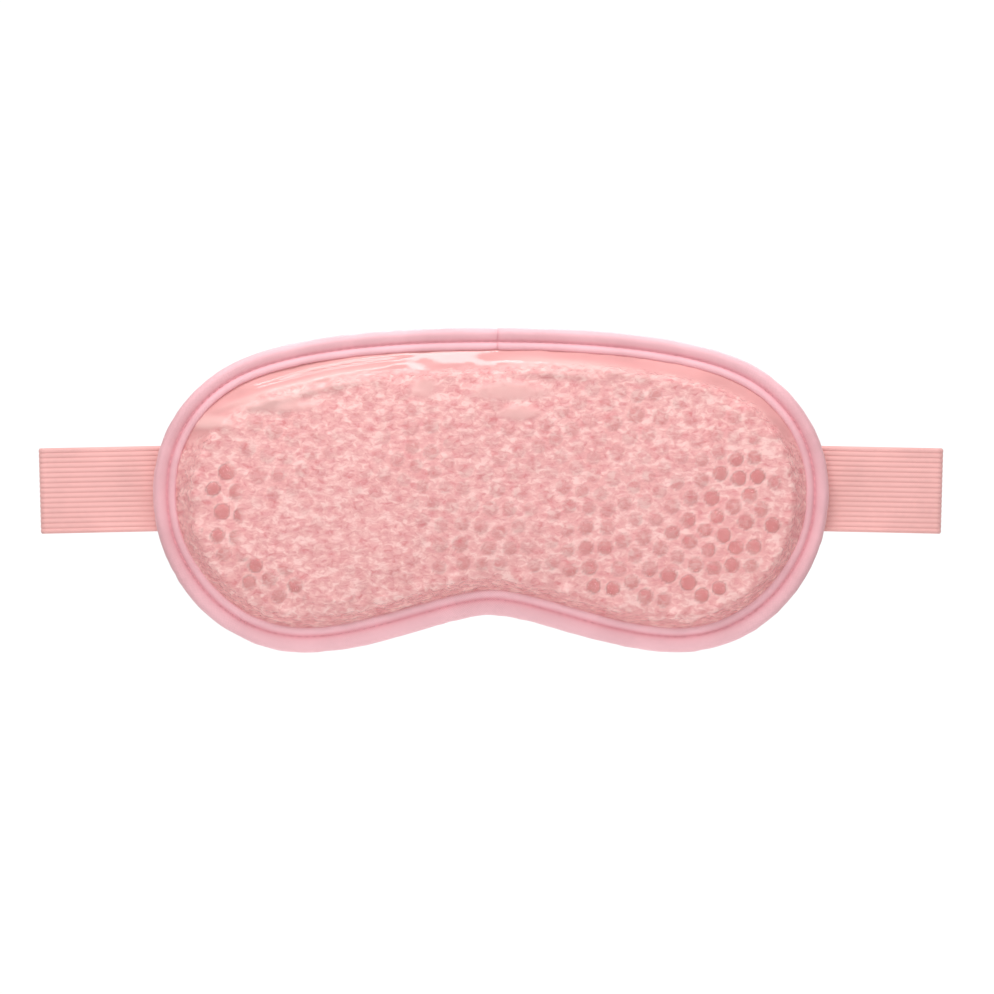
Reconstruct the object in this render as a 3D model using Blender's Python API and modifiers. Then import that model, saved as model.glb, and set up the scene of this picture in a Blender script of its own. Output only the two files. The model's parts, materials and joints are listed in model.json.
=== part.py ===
"""Gel-bead eye mask with an elastic head strap, closed behind by hook and loop.

The mask stands upright, as it is worn: X runs across the face, Z is up, the front faces -Y and the strap lies behind it,
folded flat. The origin is on the face side of the backing panel, at the middle of the strap's height.
Lengths are metres; MM turns the millimetres below into them.
"""

import math

import bmesh
import bpy
import numpy as np
from mathutils import Vector

MM = 0.001

# Outline of the mask, right half, as a Bezier chain from the top centre round to the nose notch (millimetres).
TOP_HEIGHT = 48.1
SHOULDER = (77.9, 36.8)
SHOULDER_SLOPE = math.radians(-28.6)
TIP = (100.2, -0.8)
LOBE = (55.0, -48.3)
NOTCH_HEIGHT = -37.2
STATIONS = 17

# Layers of the mask: distances along Y from the face side, front negative (millimetres).
PANEL_THICKNESS = 1.6
REAR_FILM = (-2.2, -1.9)
FRONT_RIM = -2.8
FILM_THICKNESS = 0.3
BEAD_BASE = -2.5
DOME_HEIGHT = 9.8
RIM_SHARE = 0.19
LAYER_GAP = 0.3

# Edge binding: folded tape, its widths measured inwards from the outline (millimetres).
BINDING_WIDTH = 6.8
BINDING_WRAP = 1.2
SHEET_INSET = 1.5
STITCH_INSET = 4.2
THREAD_RADIUS = 0.2
NEEDLE_THREAD_Y = -4.15
BOBBIN_THREAD_Y = 1.3
TAPE_JOINT_X = 1.8
TAPE_JOINT_GAP = 0.5

# Elastic strap: 25.4 mm wide, folded flat behind the mask (millimetres).
STRAP_WIDTH = 25.4
ELASTIC = 1.2
SEAM_X = 96.4
ANCHOR_END_X = 83.0
FOLD_X = 134.4
FRONT_LAYER = 1.8
BACK_LAYER = 4.7
END_HINGE_X = 45.0
HINGE_GAP = 0.15
STRAP_SAG = 0.4

# Hook and loop closure (millimetres).
RIGHT_END_TIP_X = -33.0
LOOP_SPAN = (-31.0, 41.0)
HOOK_SPAN = (-28.0, 18.0)
TAB_HINGE_X = -30.0
TAB_TIP_X = 21.0
PATCH_WIDTH = 22.0
PATCH = 1.2

# Stitching that holds the elastic and the patches (millimetres).
TACK_X = 89.0
TACK_LENGTH = 21.0
TACK_WIDTH = 1.2
STITCH_DEPTH = 0.4
STITCH_WIDTH = 0.6
STITCH_MARGIN = 2.5
GROOVE_CLEARANCE = 0.3

PINK_FILM = (0.86, 0.47, 0.47)
PINK_GEL = (0.80, 0.36, 0.37)
PINK_PLUSH = (0.86, 0.52, 0.53)
PINK_TAPE = (0.86, 0.50, 0.53)
PINK_THREAD = (0.62, 0.28, 0.31)
PINK_ELASTIC = (0.84, 0.47, 0.46)
PINK_HOOK = (0.80, 0.45, 0.46)


def clear_scene():
    """Remove every object and collection that the file already holds."""
    for thing in list(bpy.data.objects):
        bpy.data.objects.remove(thing, do_unlink=True)
    for group in list(bpy.data.collections):
        bpy.data.collections.remove(group)


def make_collection(name):
    """Return a new collection linked to the scene."""
    group = bpy.data.collections.new(name)
    bpy.context.scene.collection.children.link(group)
    return group


def make_material(name, colour, roughness, alpha=1.0):
    """Return a Principled material of one colour."""
    material = bpy.data.materials.new(name)
    material.use_nodes = True
    shader = material.node_tree.nodes["Principled BSDF"]
    shader.inputs["Base Color"].default_value = (*colour, 1.0)
    shader.inputs["Roughness"].default_value = roughness
    shader.inputs["Metallic"].default_value = 0.0
    shader.inputs["Alpha"].default_value = alpha
    return material


def bezier(start, handle_a, handle_b, end, count):
    """Return points on a cubic Bezier, without its end point."""
    t = np.linspace(0.0, 1.0, count, endpoint=False)[:, None]
    s = 1.0 - t
    return s**3 * start + 3 * s * s * t * handle_a + 3 * s * t * t * handle_b + t**3 * end


def half_outline():
    """Return the right half's outline from the top centre to the notch, finely, in millimetres."""
    top = np.array([0.0, TOP_HEIGHT])
    shoulder = np.array(SHOULDER)
    slope = np.array([math.cos(SHOULDER_SLOPE), math.sin(SHOULDER_SLOPE)])
    tip = np.array(TIP)
    lobe = np.array(LOBE)
    notch = np.array([0.0, NOTCH_HEIGHT])
    right = np.array([1.0, 0.0])
    up = np.array([0.0, 1.0])
    parts = [
        bezier(top, top + 39.4 * right, shoulder - 15.0 * slope, shoulder, 200),
        bezier(shoulder, shoulder + 11.3 * slope, tip + 19.9 * up, tip, 200),
        bezier(tip, tip - 26.1 * up, lobe + 25.5 * right, lobe, 200),
        bezier(lobe, lobe - 20.0 * right, notch + 12.1 * right, notch, 200),
        notch[None, :],
    ]
    return np.vstack(parts)


def outline_heights(x):
    """Return the outline's lower and upper height at a distance x from the middle."""
    half = half_outline()
    tip_at = int(np.argmax(half[:, 0]))
    upper = half[: tip_at + 1]
    lower = half[tip_at:][::-1]
    return np.interp(x, lower[:, 0], lower[:, 1]), np.interp(x, upper[:, 0], upper[:, 1])


def ring_points():
    """Return the outline as a clockwise ring, seen from the front, with its upper and lower points in pairs."""
    reach = half_outline()[:, 0].max()
    angles = np.linspace(-math.pi / 2, math.pi / 2, 2 * STATIONS + 1)
    xs = reach * np.sin(angles)
    low, high = outline_heights(np.abs(xs))
    upper = np.column_stack([xs, high])
    lower = np.column_stack([xs, low])[1:-1][::-1]
    return np.vstack([upper, lower])


def spine_points(ring):
    """Return, for each outline point, the point of the mask's middle line that it faces."""
    xs = 0.62 * ring[:, 0]
    low, high = outline_heights(np.abs(xs))
    return np.column_stack([xs, 0.5 * (low + high)])


def inward(ring):
    """Return the unit normals that point into the mask."""
    along = np.roll(ring, -1, axis=0) - np.roll(ring, 1, axis=0)
    along /= np.linalg.norm(along, axis=1)[:, None]
    return np.column_stack([along[:, 1], -along[:, 0]])


def even_ring(inset, count):
    """Return a ring of evenly spaced points at a distance inside the outline, clockwise from the top centre."""
    half = half_outline()
    left = half[1:-1][::-1] * np.array([-1.0, 1.0])
    loop = np.vstack([half, left])
    steps = np.linalg.norm(np.diff(np.vstack([loop, loop[:1]]), axis=0), axis=1)
    places = np.concatenate([[0.0], np.cumsum(steps)])
    closed = np.vstack([loop, loop[:1]])
    at = np.linspace(0.0, places[-1], count, endpoint=False)
    ring = np.column_stack([np.interp(at, places, closed[:, 0]), np.interp(at, places, closed[:, 1])])
    return ring + inset * inward(ring)


def face_mesh(name, mesh_data, material, group):
    """Make an object from a bmesh, with its faces turned outwards."""
    bmesh.ops.recalc_face_normals(mesh_data, faces=mesh_data.faces)
    if mesh_data.calc_volume(signed=True) < 0.0:
        bmesh.ops.reverse_faces(mesh_data, faces=mesh_data.faces)
    mesh = bpy.data.meshes.new(name)
    mesh_data.to_mesh(mesh)
    mesh_data.free()
    mesh.materials.append(material)
    thing = bpy.data.objects.new(name, mesh)
    group.objects.link(thing)
    return thing


def dome_height(share):
    """Return how far the pouch stands proud at a share of the way from its outline to its middle line."""
    climb = np.clip((share - RIM_SHARE) / (1.0 - RIM_SHARE), 0.0, 1.0)
    return DOME_HEIGHT * (1.0 - (1.0 - climb) ** 3) ** 0.6


def dome_surface(shares, depth, drop):
    """Return a domed sheet as a bmesh of rings that close on the middle line, and its outer ring's points."""
    ring = ring_points()
    spine = spine_points(ring)
    sheet = bmesh.new()
    rows = []
    for share in shares:
        flat = ring + share * (spine - ring)
        height = float(dome_height(share))
        y = depth - max(height - drop, 0.0)
        rows.append([sheet.verts.new((p[0] * MM, y * MM, p[1] * MM)) for p in flat])
    count = len(ring)
    for row, following in zip(rows, rows[1:]):
        for i in range(count):
            j = (i + 1) % count
            sheet.faces.new((row[i], row[j], following[j], following[i]))
    bmesh.ops.remove_doubles(sheet, verts=rows[-1], dist=0.01 * MM)
    bmesh.ops.dissolve_degenerate(sheet, edges=sheet.edges, dist=0.001 * MM)
    return sheet, rows[0]


def build_front_film(group):
    """Clear film, domed over the beads, with a flat rim that the binding covers."""
    shares = [0.05, RIM_SHARE, 0.21, 0.26, 0.36, 0.55, 0.78, 1.0]
    sheet = dome_surface(shares, FRONT_RIM + FILM_THICKNESS, 0.0)[0]
    film = face_mesh("front_film", sheet, make_material("clear_pink_film", PINK_FILM, 0.12, 0.35), group)
    shell = film.modifiers.new("film_thickness", "SOLIDIFY")
    shell.thickness = FILM_THICKNESS * MM
    shell.offset = 1.0
    shell.use_even_offset = False
    return film


def build_gel_beads(group):
    """The beads that fill the pouch, as one body just inside the front film."""
    sheet, rim = dome_surface([0.23, 0.235, 0.27, 0.36, 0.55, 0.78, 1.0], BEAD_BASE, 0.9)
    base = [sheet.verts.new((corner.co.x, BEAD_BASE * MM, corner.co.z)) for corner in rim]
    for i in range(len(rim)):
        j = (i + 1) % len(rim)
        sheet.faces.new((base[i], base[j], rim[j], rim[i]))
    sheet.faces.new(base)
    return face_mesh("gel_beads", sheet, make_material("pink_gel", PINK_GEL, 0.08), group)


def flat_sheet(name, inset, near, far, material, group):
    """A flat sheet with the mask's outline, between two distances along Y."""
    curve = bpy.data.curves.new(name, "CURVE")
    curve.dimensions = "2D"
    curve.fill_mode = "BOTH"
    curve.extrude = 0.5 * (far - near) * MM
    outline = even_ring(inset, 64)
    spline = curve.splines.new("POLY")
    spline.points.add(len(outline) - 1)
    for point, place in zip(spline.points, outline):
        point.co = (place[0] * MM, place[1] * MM, 0.0, 1.0)
    spline.use_cyclic_u = True
    curve.materials.append(material)
    thing = bpy.data.objects.new(name, curve)
    thing.location.y = 0.5 * (near + far) * MM
    thing.rotation_euler.x = math.pi / 2
    group.objects.link(thing)
    return thing


def binding_section():
    """The tape's folded section: (inset, Y) from the front lip's underside round the edge and back, closed."""
    under = FRONT_RIM - LAYER_GAP
    behind = LAYER_GAP
    inner = [
        (BINDING_WIDTH, under),
        (BINDING_WRAP, under),
        (BINDING_WRAP - 0.3, 0.5 * (under + behind)),
        (BINDING_WRAP, behind),
        (BINDING_WIDTH, behind),
    ]
    rear = [(BINDING_WIDTH - 0.2, 1.25), (STITCH_INSET + 0.9, 1.4), (STITCH_INSET, 0.8), (STITCH_INSET - 0.9, 1.4)]
    edge = [(0.9, 1.1), (0.1, -0.2), (0.0, -1.4), (0.1, -2.7), (0.9, -4.1)]
    front = [
        (STITCH_INSET - 0.9, -4.4),
        (STITCH_INSET, -3.7),
        (STITCH_INSET + 0.9, -4.3),
        (BINDING_WIDTH - 0.2, -4.1),
    ]
    return inner + rear + edge + front


def build_edge_binding(group):
    """Folded tape round the edge, whose two ends meet at the top of the mask."""
    count = 72
    ring = even_ring(0.0, count)
    normals = inward(ring)
    gap_start = (TAPE_JOINT_X + TAPE_JOINT_GAP / 2, TOP_HEIGHT)
    gap_end = (TAPE_JOINT_X - TAPE_JOINT_GAP / 2, TOP_HEIGHT)
    path = [(np.array(gap_start), np.array([0.0, -1.0]))]
    path += [(p, n) for p, n in zip(ring[1:], normals[1:])]
    path += [(ring[0], np.array([0.0, -1.0])), (np.array(gap_end), np.array([0.0, -1.0]))]
    section = binding_section()
    tape = bmesh.new()
    rows = []
    for place, normal in path:
        row = []
        for inset, y in section:
            spot = place + inset * normal
            row.append(tape.verts.new((spot[0] * MM, y * MM, spot[1] * MM)))
        rows.append(row)
    size = len(section)
    for row, following in zip(rows, rows[1:]):
        for i in range(size):
            j = (i + 1) % size
            tape.faces.new((row[i], row[j], following[j], following[i]))
    tape.faces.new(rows[0])
    tape.faces.new(rows[-1][::-1])
    return face_mesh("edge_binding", tape, make_material("satin_tape", PINK_TAPE, 0.45), group)


def build_thread_ring(name, y, group, material):
    """A sewing thread that runs all round the binding in its stitched groove."""
    curve = bpy.data.curves.new(name, "CURVE")
    curve.dimensions = "3D"
    curve.bevel_depth = THREAD_RADIUS * MM
    curve.bevel_resolution = 0
    ring = even_ring(STITCH_INSET, 72)
    spline = curve.splines.new("POLY")
    spline.points.add(len(ring) - 1)
    for point, place in zip(spline.points, ring):
        point.co = (place[0] * MM, y * MM, place[1] * MM, 1.0)
    spline.use_cyclic_u = True
    curve.materials.append(material)
    thing = bpy.data.objects.new(name, curve)
    group.objects.link(thing)
    return thing


def sag(x):
    """How far the elastic hangs below its own line, growing evenly from the seam to the fold."""
    share = np.clip((abs(x) - END_HINGE_X) / (FOLD_X - END_HINGE_X), 0.0, 1.0)
    return -STRAP_SAG * share


def extrude_profile(name, profile, width, material, group, side=1.0):
    """A strip with an (X, Y) profile, as wide as the strap is high; side -1 mirrors it to the left."""
    curve = bpy.data.curves.new(name, "CURVE")
    curve.dimensions = "2D"
    curve.fill_mode = "BOTH"
    curve.extrude = 0.5 * width * MM
    spline = curve.splines.new("POLY")
    spline.points.add(len(profile) - 1)
    for point, (x, y) in zip(spline.points, profile):
        point.co = (side * x * MM, y * MM, 0.0, 1.0)
    spline.use_cyclic_u = True
    carrier = bpy.data.objects.new(name + "_outline", curve)
    group.objects.link(carrier)
    bpy.context.view_layer.update()
    evaluated = carrier.evaluated_get(bpy.context.evaluated_depsgraph_get())
    mesh = bpy.data.meshes.new_from_object(evaluated)
    bpy.data.objects.remove(carrier, do_unlink=True)
    strip = bmesh.new()
    strip.from_mesh(mesh)
    bpy.data.meshes.remove(mesh)
    bmesh.ops.remove_doubles(strip, verts=strip.verts, dist=0.01 * MM)
    for vertex in strip.verts:
        vertex.co.z += sag(vertex.co.x / MM) * MM
    return face_mesh(name, strip, material, group)


def box(name, low, high, material, group):
    """A box between two corners, in millimetres."""
    centre = [0.5 * (a + b) * MM for a, b in zip(low, high)]
    bpy.ops.mesh.primitive_cube_add(size=1.0, location=centre)
    thing = bpy.context.active_object
    thing.name = name
    thing.scale = [(b - a) * MM for a, b in zip(low, high)]
    bpy.ops.object.transform_apply(location=False, rotation=False, scale=True)
    for owner in list(thing.users_collection):
        owner.objects.unlink(thing)
    group.objects.link(thing)
    thing.data.materials.append(material)
    return thing


def set_origin(thing, x, y):
    """Move an object's origin onto its hinge line without moving its shape."""
    shift = Vector((x * MM, y * MM, 0.0)) - thing.location
    thing.data.transform(thing.matrix_world.Translation(-shift))
    thing.location += shift


def cut(thing, cutter, cutters):
    """Cut one object with another, which stays behind as a hidden guide."""
    for owner in list(cutter.users_collection):
        owner.objects.unlink(cutter)
    cutters.objects.link(cutter)
    cutter.hide_render = True
    cutter.display_type = "WIRE"
    knife = thing.modifiers.new("cut_" + cutter.name, "BOOLEAN")
    knife.operation = "DIFFERENCE"
    knife.object = cutter


def rectangle_ring(name, span, height, band, y, depth, material, group):
    """A flat rectangular frame in the X-Z plane: the path of a stitched rectangle."""
    curve = bpy.data.curves.new(name, "CURVE")
    curve.dimensions = "2D"
    curve.fill_mode = "BOTH"
    curve.extrude = 0.5 * depth * MM
    for grow in (0.5 * band, -0.5 * band):
        corners = [
            (span[0] - grow, -0.5 * height - grow),
            (span[1] + grow, -0.5 * height - grow),
            (span[1] + grow, 0.5 * height + grow),
            (span[0] - grow, 0.5 * height + grow),
        ]
        spline = curve.splines.new("POLY")
        spline.points.add(3)
        for point, (x, z) in zip(spline.points, corners):
            point.co = (x * MM, z * MM, 0.0, 1.0)
        spline.use_cyclic_u = True
    carrier = bpy.data.objects.new(name + "_outline", curve)
    group.objects.link(carrier)
    bpy.context.view_layer.update()
    evaluated = carrier.evaluated_get(bpy.context.evaluated_depsgraph_get())
    mesh = bpy.data.meshes.new_from_object(evaluated)
    bpy.data.objects.remove(carrier, do_unlink=True)
    frame = bmesh.new()
    frame.from_mesh(mesh)
    bpy.data.meshes.remove(mesh)
    bmesh.ops.remove_doubles(frame, verts=frame.verts, dist=0.01 * MM)
    for vertex in frame.verts:
        vertex.co = Vector((vertex.co.x, vertex.co.z + y * MM, vertex.co.y))
    return face_mesh(name, frame, material, group)


def stitched_rectangle(name, host, span, surface_y, into, material, group, cutters):
    """Sink a rectangle of stitching just under a flat face of its host; into is +1 when the host lies towards +Y."""
    height = PATCH_WIDTH - 2 * STITCH_MARGIN
    inner = (span[0] + STITCH_MARGIN, span[1] - STITCH_MARGIN)
    groove_depth = STITCH_DEPTH + GROOVE_CLEARANCE
    groove_band = STITCH_WIDTH + 2 * GROOVE_CLEARANCE
    groove = rectangle_ring(name + "_groove", inner, height, groove_band, surface_y, 2 * groove_depth, material, group)
    cut(host, groove, cutters)
    middle = surface_y + into * 0.5 * STITCH_DEPTH
    return rectangle_ring(name, inner, height, STITCH_WIDTH, middle, STITCH_DEPTH, material, group)


def knuckle(centre_x, centre_y, radius, start, end, steps):
    """Points of an arc, for the round of a fold."""
    angles = np.linspace(math.radians(start), math.radians(end), steps)
    return [(centre_x + radius * math.cos(a), centre_y + radius * math.sin(a)) for a in angles]


def build_anchor(side, elastic, thread, group):
    """The elastic's sewn-down end behind the binding, and the bar tack sunk across it."""
    word = "left" if side < 0 else "right"
    tack_bed = 0.5 * TACK_WIDTH + GROOVE_CLEARANCE
    rear = FRONT_LAYER + ELASTIC
    bed_y = rear - STITCH_DEPTH - GROOVE_CLEARANCE
    profile = [
        (ANCHOR_END_X, FRONT_LAYER),
        (SEAM_X - HINGE_GAP, FRONT_LAYER),
        (SEAM_X - HINGE_GAP, rear),
        (TACK_X + tack_bed, rear),
        (TACK_X + tack_bed, bed_y),
        (TACK_X - tack_bed, bed_y),
        (TACK_X - tack_bed, rear),
        (ANCHOR_END_X, rear),
    ]
    extrude_profile(word + "_strap_anchor", profile, STRAP_WIDTH, elastic, group, side)
    tack = [
        (TACK_X - 0.5 * TACK_WIDTH, rear - STITCH_DEPTH),
        (TACK_X + 0.5 * TACK_WIDTH, rear - STITCH_DEPTH),
        (TACK_X + 0.5 * TACK_WIDTH, rear),
        (TACK_X - 0.5 * TACK_WIDTH, rear),
    ]
    extrude_profile(word + "_anchor_stitch", tack, TACK_LENGTH, thread, group, side)


def build_strap_side(side, elastic, group):
    """The elastic between the seam and the fold, and the elastic behind it from the fold towards the middle."""
    word = "left" if side < 0 else "right"
    front_rear = FRONT_LAYER + ELASTIC
    back_rear = BACK_LAYER + ELASTIC
    fold_y = 0.5 * (FRONT_LAYER + back_rear)
    fold_radius = 0.5 * (back_rear - FRONT_LAYER)
    fold_centre = FOLD_X - fold_radius
    front = [
        (SEAM_X + HINGE_GAP, FRONT_LAYER),
        (fold_centre - fold_radius - LAYER_GAP, FRONT_LAYER),
        (fold_centre - fold_radius - LAYER_GAP, front_rear),
        (SEAM_X + HINGE_GAP, front_rear),
    ]
    front_piece = extrude_profile(word + "_strap_front", front, STRAP_WIDTH, elastic, group, side)
    set_origin(front_piece, side * SEAM_X, front_rear)
    back = knuckle(fold_centre, fold_y, fold_radius, 90.0, -180.0, 13)
    back += [
        (fold_centre - fold_radius, BACK_LAYER),
        (END_HINGE_X + HINGE_GAP, BACK_LAYER),
        (END_HINGE_X + HINGE_GAP, back_rear),
    ]
    back_piece = extrude_profile(word + "_strap_back", back, STRAP_WIDTH, elastic, group, side)
    set_origin(back_piece, side * fold_centre, fold_y)


def build_right_end(elastic, loops, thread, group, cutters):
    """The right elastic's end, with the loop patch on its rear and the patch's stitching on its front."""
    rear = BACK_LAYER + ELASTIC
    profile = [
        (RIGHT_END_TIP_X, BACK_LAYER),
        (END_HINGE_X - HINGE_GAP, BACK_LAYER),
        (END_HINGE_X - HINGE_GAP, rear),
        (RIGHT_END_TIP_X, rear),
    ]
    end = extrude_profile("right_strap_end", profile, STRAP_WIDTH, elastic, group)
    set_origin(end, END_HINGE_X, BACK_LAYER)
    near = rear + LAYER_GAP
    low = (LOOP_SPAN[0], near, -0.5 * PATCH_WIDTH)
    high = (LOOP_SPAN[1], near + PATCH, 0.5 * PATCH_WIDTH)
    box("loop_patch", low, high, loops, group)
    stitched_rectangle("loop_patch_stitch", end, LOOP_SPAN, BACK_LAYER, 1.0, thread, group, cutters)


def build_left_end(elastic, hooks, thread, group, cutters):
    """The left elastic's end, stepping over the right one, and its hook tab."""
    tab_near = BACK_LAYER + ELASTIC + LAYER_GAP + PATCH + LAYER_GAP + PATCH + LAYER_GAP
    tab_rear = tab_near + ELASTIC
    ramp_foot = END_HINGE_X - 2.0
    ramp_head = ramp_foot - 8.0
    base = [
        (END_HINGE_X - HINGE_GAP, BACK_LAYER),
        (ramp_foot, BACK_LAYER),
        (ramp_head, tab_near),
        (-TAB_HINGE_X + HINGE_GAP, tab_near),
        (-TAB_HINGE_X + HINGE_GAP, tab_rear),
        (ramp_head + 0.6, tab_rear),
        (ramp_foot + 0.6, BACK_LAYER + ELASTIC),
        (END_HINGE_X - HINGE_GAP, BACK_LAYER + ELASTIC),
    ]
    end = extrude_profile("left_strap_end", base, STRAP_WIDTH, elastic, group, -1.0)
    set_origin(end, -END_HINGE_X, BACK_LAYER)
    tab_profile = [
        (TAB_HINGE_X + HINGE_GAP, tab_near),
        (TAB_TIP_X, tab_near),
        (TAB_TIP_X, tab_rear),
        (TAB_HINGE_X + HINGE_GAP, tab_rear),
    ]
    tab = extrude_profile("hook_tab", tab_profile, STRAP_WIDTH, elastic, group)
    set_origin(tab, TAB_HINGE_X, tab_rear)
    low = (HOOK_SPAN[0], tab_near - LAYER_GAP - PATCH, -0.5 * PATCH_WIDTH)
    high = (HOOK_SPAN[1], tab_near - LAYER_GAP, 0.5 * PATCH_WIDTH)
    box("hook_patch", low, high, hooks, group)
    stitched_rectangle("hook_patch_stitch", tab, HOOK_SPAN, tab_rear, -1.0, thread, group, cutters)


def main():
    """Build the eye mask."""
    clear_scene()
    parts = make_collection("gel_bead_eye_mask")
    cutters = make_collection("cutters")
    thread = make_material("sewing_thread", PINK_THREAD, 0.6)
    elastic = make_material("ribbed_elastic", PINK_ELASTIC, 0.7)
    build_front_film(parts)
    build_gel_beads(parts)
    film_material = make_material("rear_film", PINK_FILM, 0.15, 0.5)
    flat_sheet("rear_film", SHEET_INSET, REAR_FILM[0], REAR_FILM[1], film_material, parts)
    plush = make_material("plush", PINK_PLUSH, 0.9)
    flat_sheet("backing_panel", SHEET_INSET, -PANEL_THICKNESS, 0.0, plush, parts)
    build_edge_binding(parts)
    build_thread_ring("binding_needle_thread", NEEDLE_THREAD_Y, parts, thread)
    build_thread_ring("binding_bobbin_thread", BOBBIN_THREAD_Y, parts, thread)
    for side in (-1.0, 1.0):
        build_anchor(side, elastic, thread, parts)
        build_strap_side(side, elastic, parts)
    loops = make_material("loop_pile", PINK_PLUSH, 0.95)
    build_right_end(elastic, loops, thread, parts, cutters)
    hooks = make_material("hooks", PINK_HOOK, 0.5)
    build_left_end(elastic, hooks, thread, parts, cutters)


main()
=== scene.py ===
import functools
import json
import math

import bmesh
import bpy
import numpy as np
from bpy.props import FloatProperty, FloatVectorProperty, IntProperty, PointerProperty
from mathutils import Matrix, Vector


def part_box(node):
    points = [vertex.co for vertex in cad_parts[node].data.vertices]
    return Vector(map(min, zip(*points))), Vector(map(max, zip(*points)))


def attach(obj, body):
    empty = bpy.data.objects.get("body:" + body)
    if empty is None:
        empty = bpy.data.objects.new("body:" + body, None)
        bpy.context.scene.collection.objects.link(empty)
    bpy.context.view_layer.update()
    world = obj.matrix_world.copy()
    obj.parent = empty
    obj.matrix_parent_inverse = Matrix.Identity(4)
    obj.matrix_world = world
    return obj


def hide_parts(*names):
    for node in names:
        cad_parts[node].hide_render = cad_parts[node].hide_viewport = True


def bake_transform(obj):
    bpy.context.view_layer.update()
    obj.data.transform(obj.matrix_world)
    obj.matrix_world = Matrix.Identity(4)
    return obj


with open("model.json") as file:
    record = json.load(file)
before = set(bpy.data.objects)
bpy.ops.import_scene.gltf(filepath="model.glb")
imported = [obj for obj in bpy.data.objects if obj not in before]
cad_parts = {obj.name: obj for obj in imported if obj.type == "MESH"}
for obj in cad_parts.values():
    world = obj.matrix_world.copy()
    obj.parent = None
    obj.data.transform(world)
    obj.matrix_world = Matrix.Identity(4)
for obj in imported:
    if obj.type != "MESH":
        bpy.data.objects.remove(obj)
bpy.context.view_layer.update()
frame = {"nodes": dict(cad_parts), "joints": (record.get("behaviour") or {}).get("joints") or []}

bl_info = {
    "name": "Gel bead eye mask",
    "version": (1, 0, 0),
    "blender": (4, 5, 0),
    "location": "3D View > Sidebar > Eye Mask",
    "description": "Builds the film, gel beads, plush back, binding and elastic strap of a gel bead eye mask",
    "category": "Object",
}

MM = 0.001
BINDING_LOW, BINDING_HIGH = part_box("edge_binding")
REAR_FILM_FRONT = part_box("rear_film")[0].y
PANEL_FRONT, PANEL_BACK = (corner.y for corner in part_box("backing_panel"))
ANCHOR_LOW, ANCHOR_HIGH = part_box("right_strap_anchor")
FRONT_LOW, FRONT_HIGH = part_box("right_strap_front")
FOLD_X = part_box("right_strap_back")[1].x
END_LOW, END_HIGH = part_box("right_strap_end")
TAB_LOW, TAB_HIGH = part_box("hook_tab")
HOOK_LOW, HOOK_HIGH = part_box("hook_patch")
LOOP_LOW, LOOP_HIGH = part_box("loop_patch")
TACK_LOW, TACK_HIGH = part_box("right_anchor_stitch")
HINGES = {joint["name"]: joint["pos_m"] for joint in frame["joints"]}
SEAM_X = abs(HINGES["right_seam"][0])
ANCHOR_Y, FRONT_Y = 0.5 * (ANCHOR_LOW.y + ANCHOR_HIGH.y), 0.5 * (FRONT_LOW.y + FRONT_HIGH.y)
END_Y, TAB_Y = 0.5 * (END_LOW.y + END_HIGH.y), 0.5 * (TAB_LOW.y + TAB_HIGH.y)

# The outline's right half, in shares of the half width: points from the top centre to the nose notch, the
# direction the line takes there, and how far its Bezier handles reach back and ahead.
REACH = BINDING_HIGH.x
SHOULDER_SLOPE = math.radians(-28.6)
OUTLINE = (
    ((0.0, BINDING_HIGH.z / REACH), (1.0, 0.0), 0.0, 0.393),
    ((0.7775, 0.3673), (math.cos(SHOULDER_SLOPE), math.sin(SHOULDER_SLOPE)), 0.150, 0.113),
    ((1.0, -0.008), (0.0, -1.0), 0.199, 0.260),
    ((0.549, BINDING_LOW.z / REACH), (-1.0, 0.0), 0.254, 0.200),
    ((0.0, -0.3713), (-1.0, 0.0), 0.121, 0.0),
)
OUTLINE_STEPS = 160

GRID = 0.65 * MM
SEED = 11

FILM_INSET = 1.7 * MM
FILM_WALL = 0.25 * MM
FILM_CLEARANCE = 0.35 * MM
RIM_WIDTH = 6.8 * MM
RIM_HEIGHT = 0.55 * MM
EDGE_ROOM, MIDDLE_ROOM = 6.3, 3.9  # depth for the beads at the rim, and what the middle adds, in millimetres
ROOM_RUN = 9.0 * MM
SETTLE_STEPS = 160
DRAPE_STEPS = 500
DRAPE_PULL = 0.0035 * MM
PILE_TUFT, PILE_WAVE = 0.75 * MM, 6.0 * MM

# The tape's outer side from the front lip over the edge to the rear lip, and its under side: (inset, Y) in
# millimetres.
TAPE_OUTER = (
    (6.75, -3.12), (6.82, -3.42), (6.68, -3.74), (6.3, -3.98), (5.8, -4.08), (5.25, -4.0), (4.8, -3.78),
    (4.45, -3.52), (4.2, -3.4), (3.9, -3.54), (3.45, -3.84), (2.9, -4.14), (2.25, -4.36), (1.6, -4.42),
    (0.95, -4.2), (0.45, -3.65), (0.12, -2.8), (0.0, -1.6), (0.06, -0.6), (0.3, 0.35), (0.8, 0.95),
    (1.5, 1.32), (2.4, 1.42), (3.2, 1.28), (3.8, 1.04), (4.2, 0.88), (4.65, 1.04), (5.2, 1.26), (5.9, 1.24),
    (6.5, 1.02), (6.8, 0.7), (6.75, 0.32),
)
TAPE_UNDER = ((6.6, 0.22), (1.5, 0.22), (1.15, -1.4), (1.5, -3.02), (6.6, -3.02))
TAPE_MIDDLE = (3.2, -1.45)
TAPE_RINGS = 840
TAPE_JOINT_X = 1.8 * MM
TAPE_JOINT_GAP = 0.02 * MM
STITCH_INSET = 4.2 * MM
THREAD = 0.42 * MM
STITCH_SHARE = 0.86  # of the pitch that a stitch of the binding covers
PATCH_STITCH_INSET, PATCH_STITCH_PITCH, PATCH_STITCH_LENGTH = 0.3 * MM, 2.4 * MM, 2.1 * MM

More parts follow.
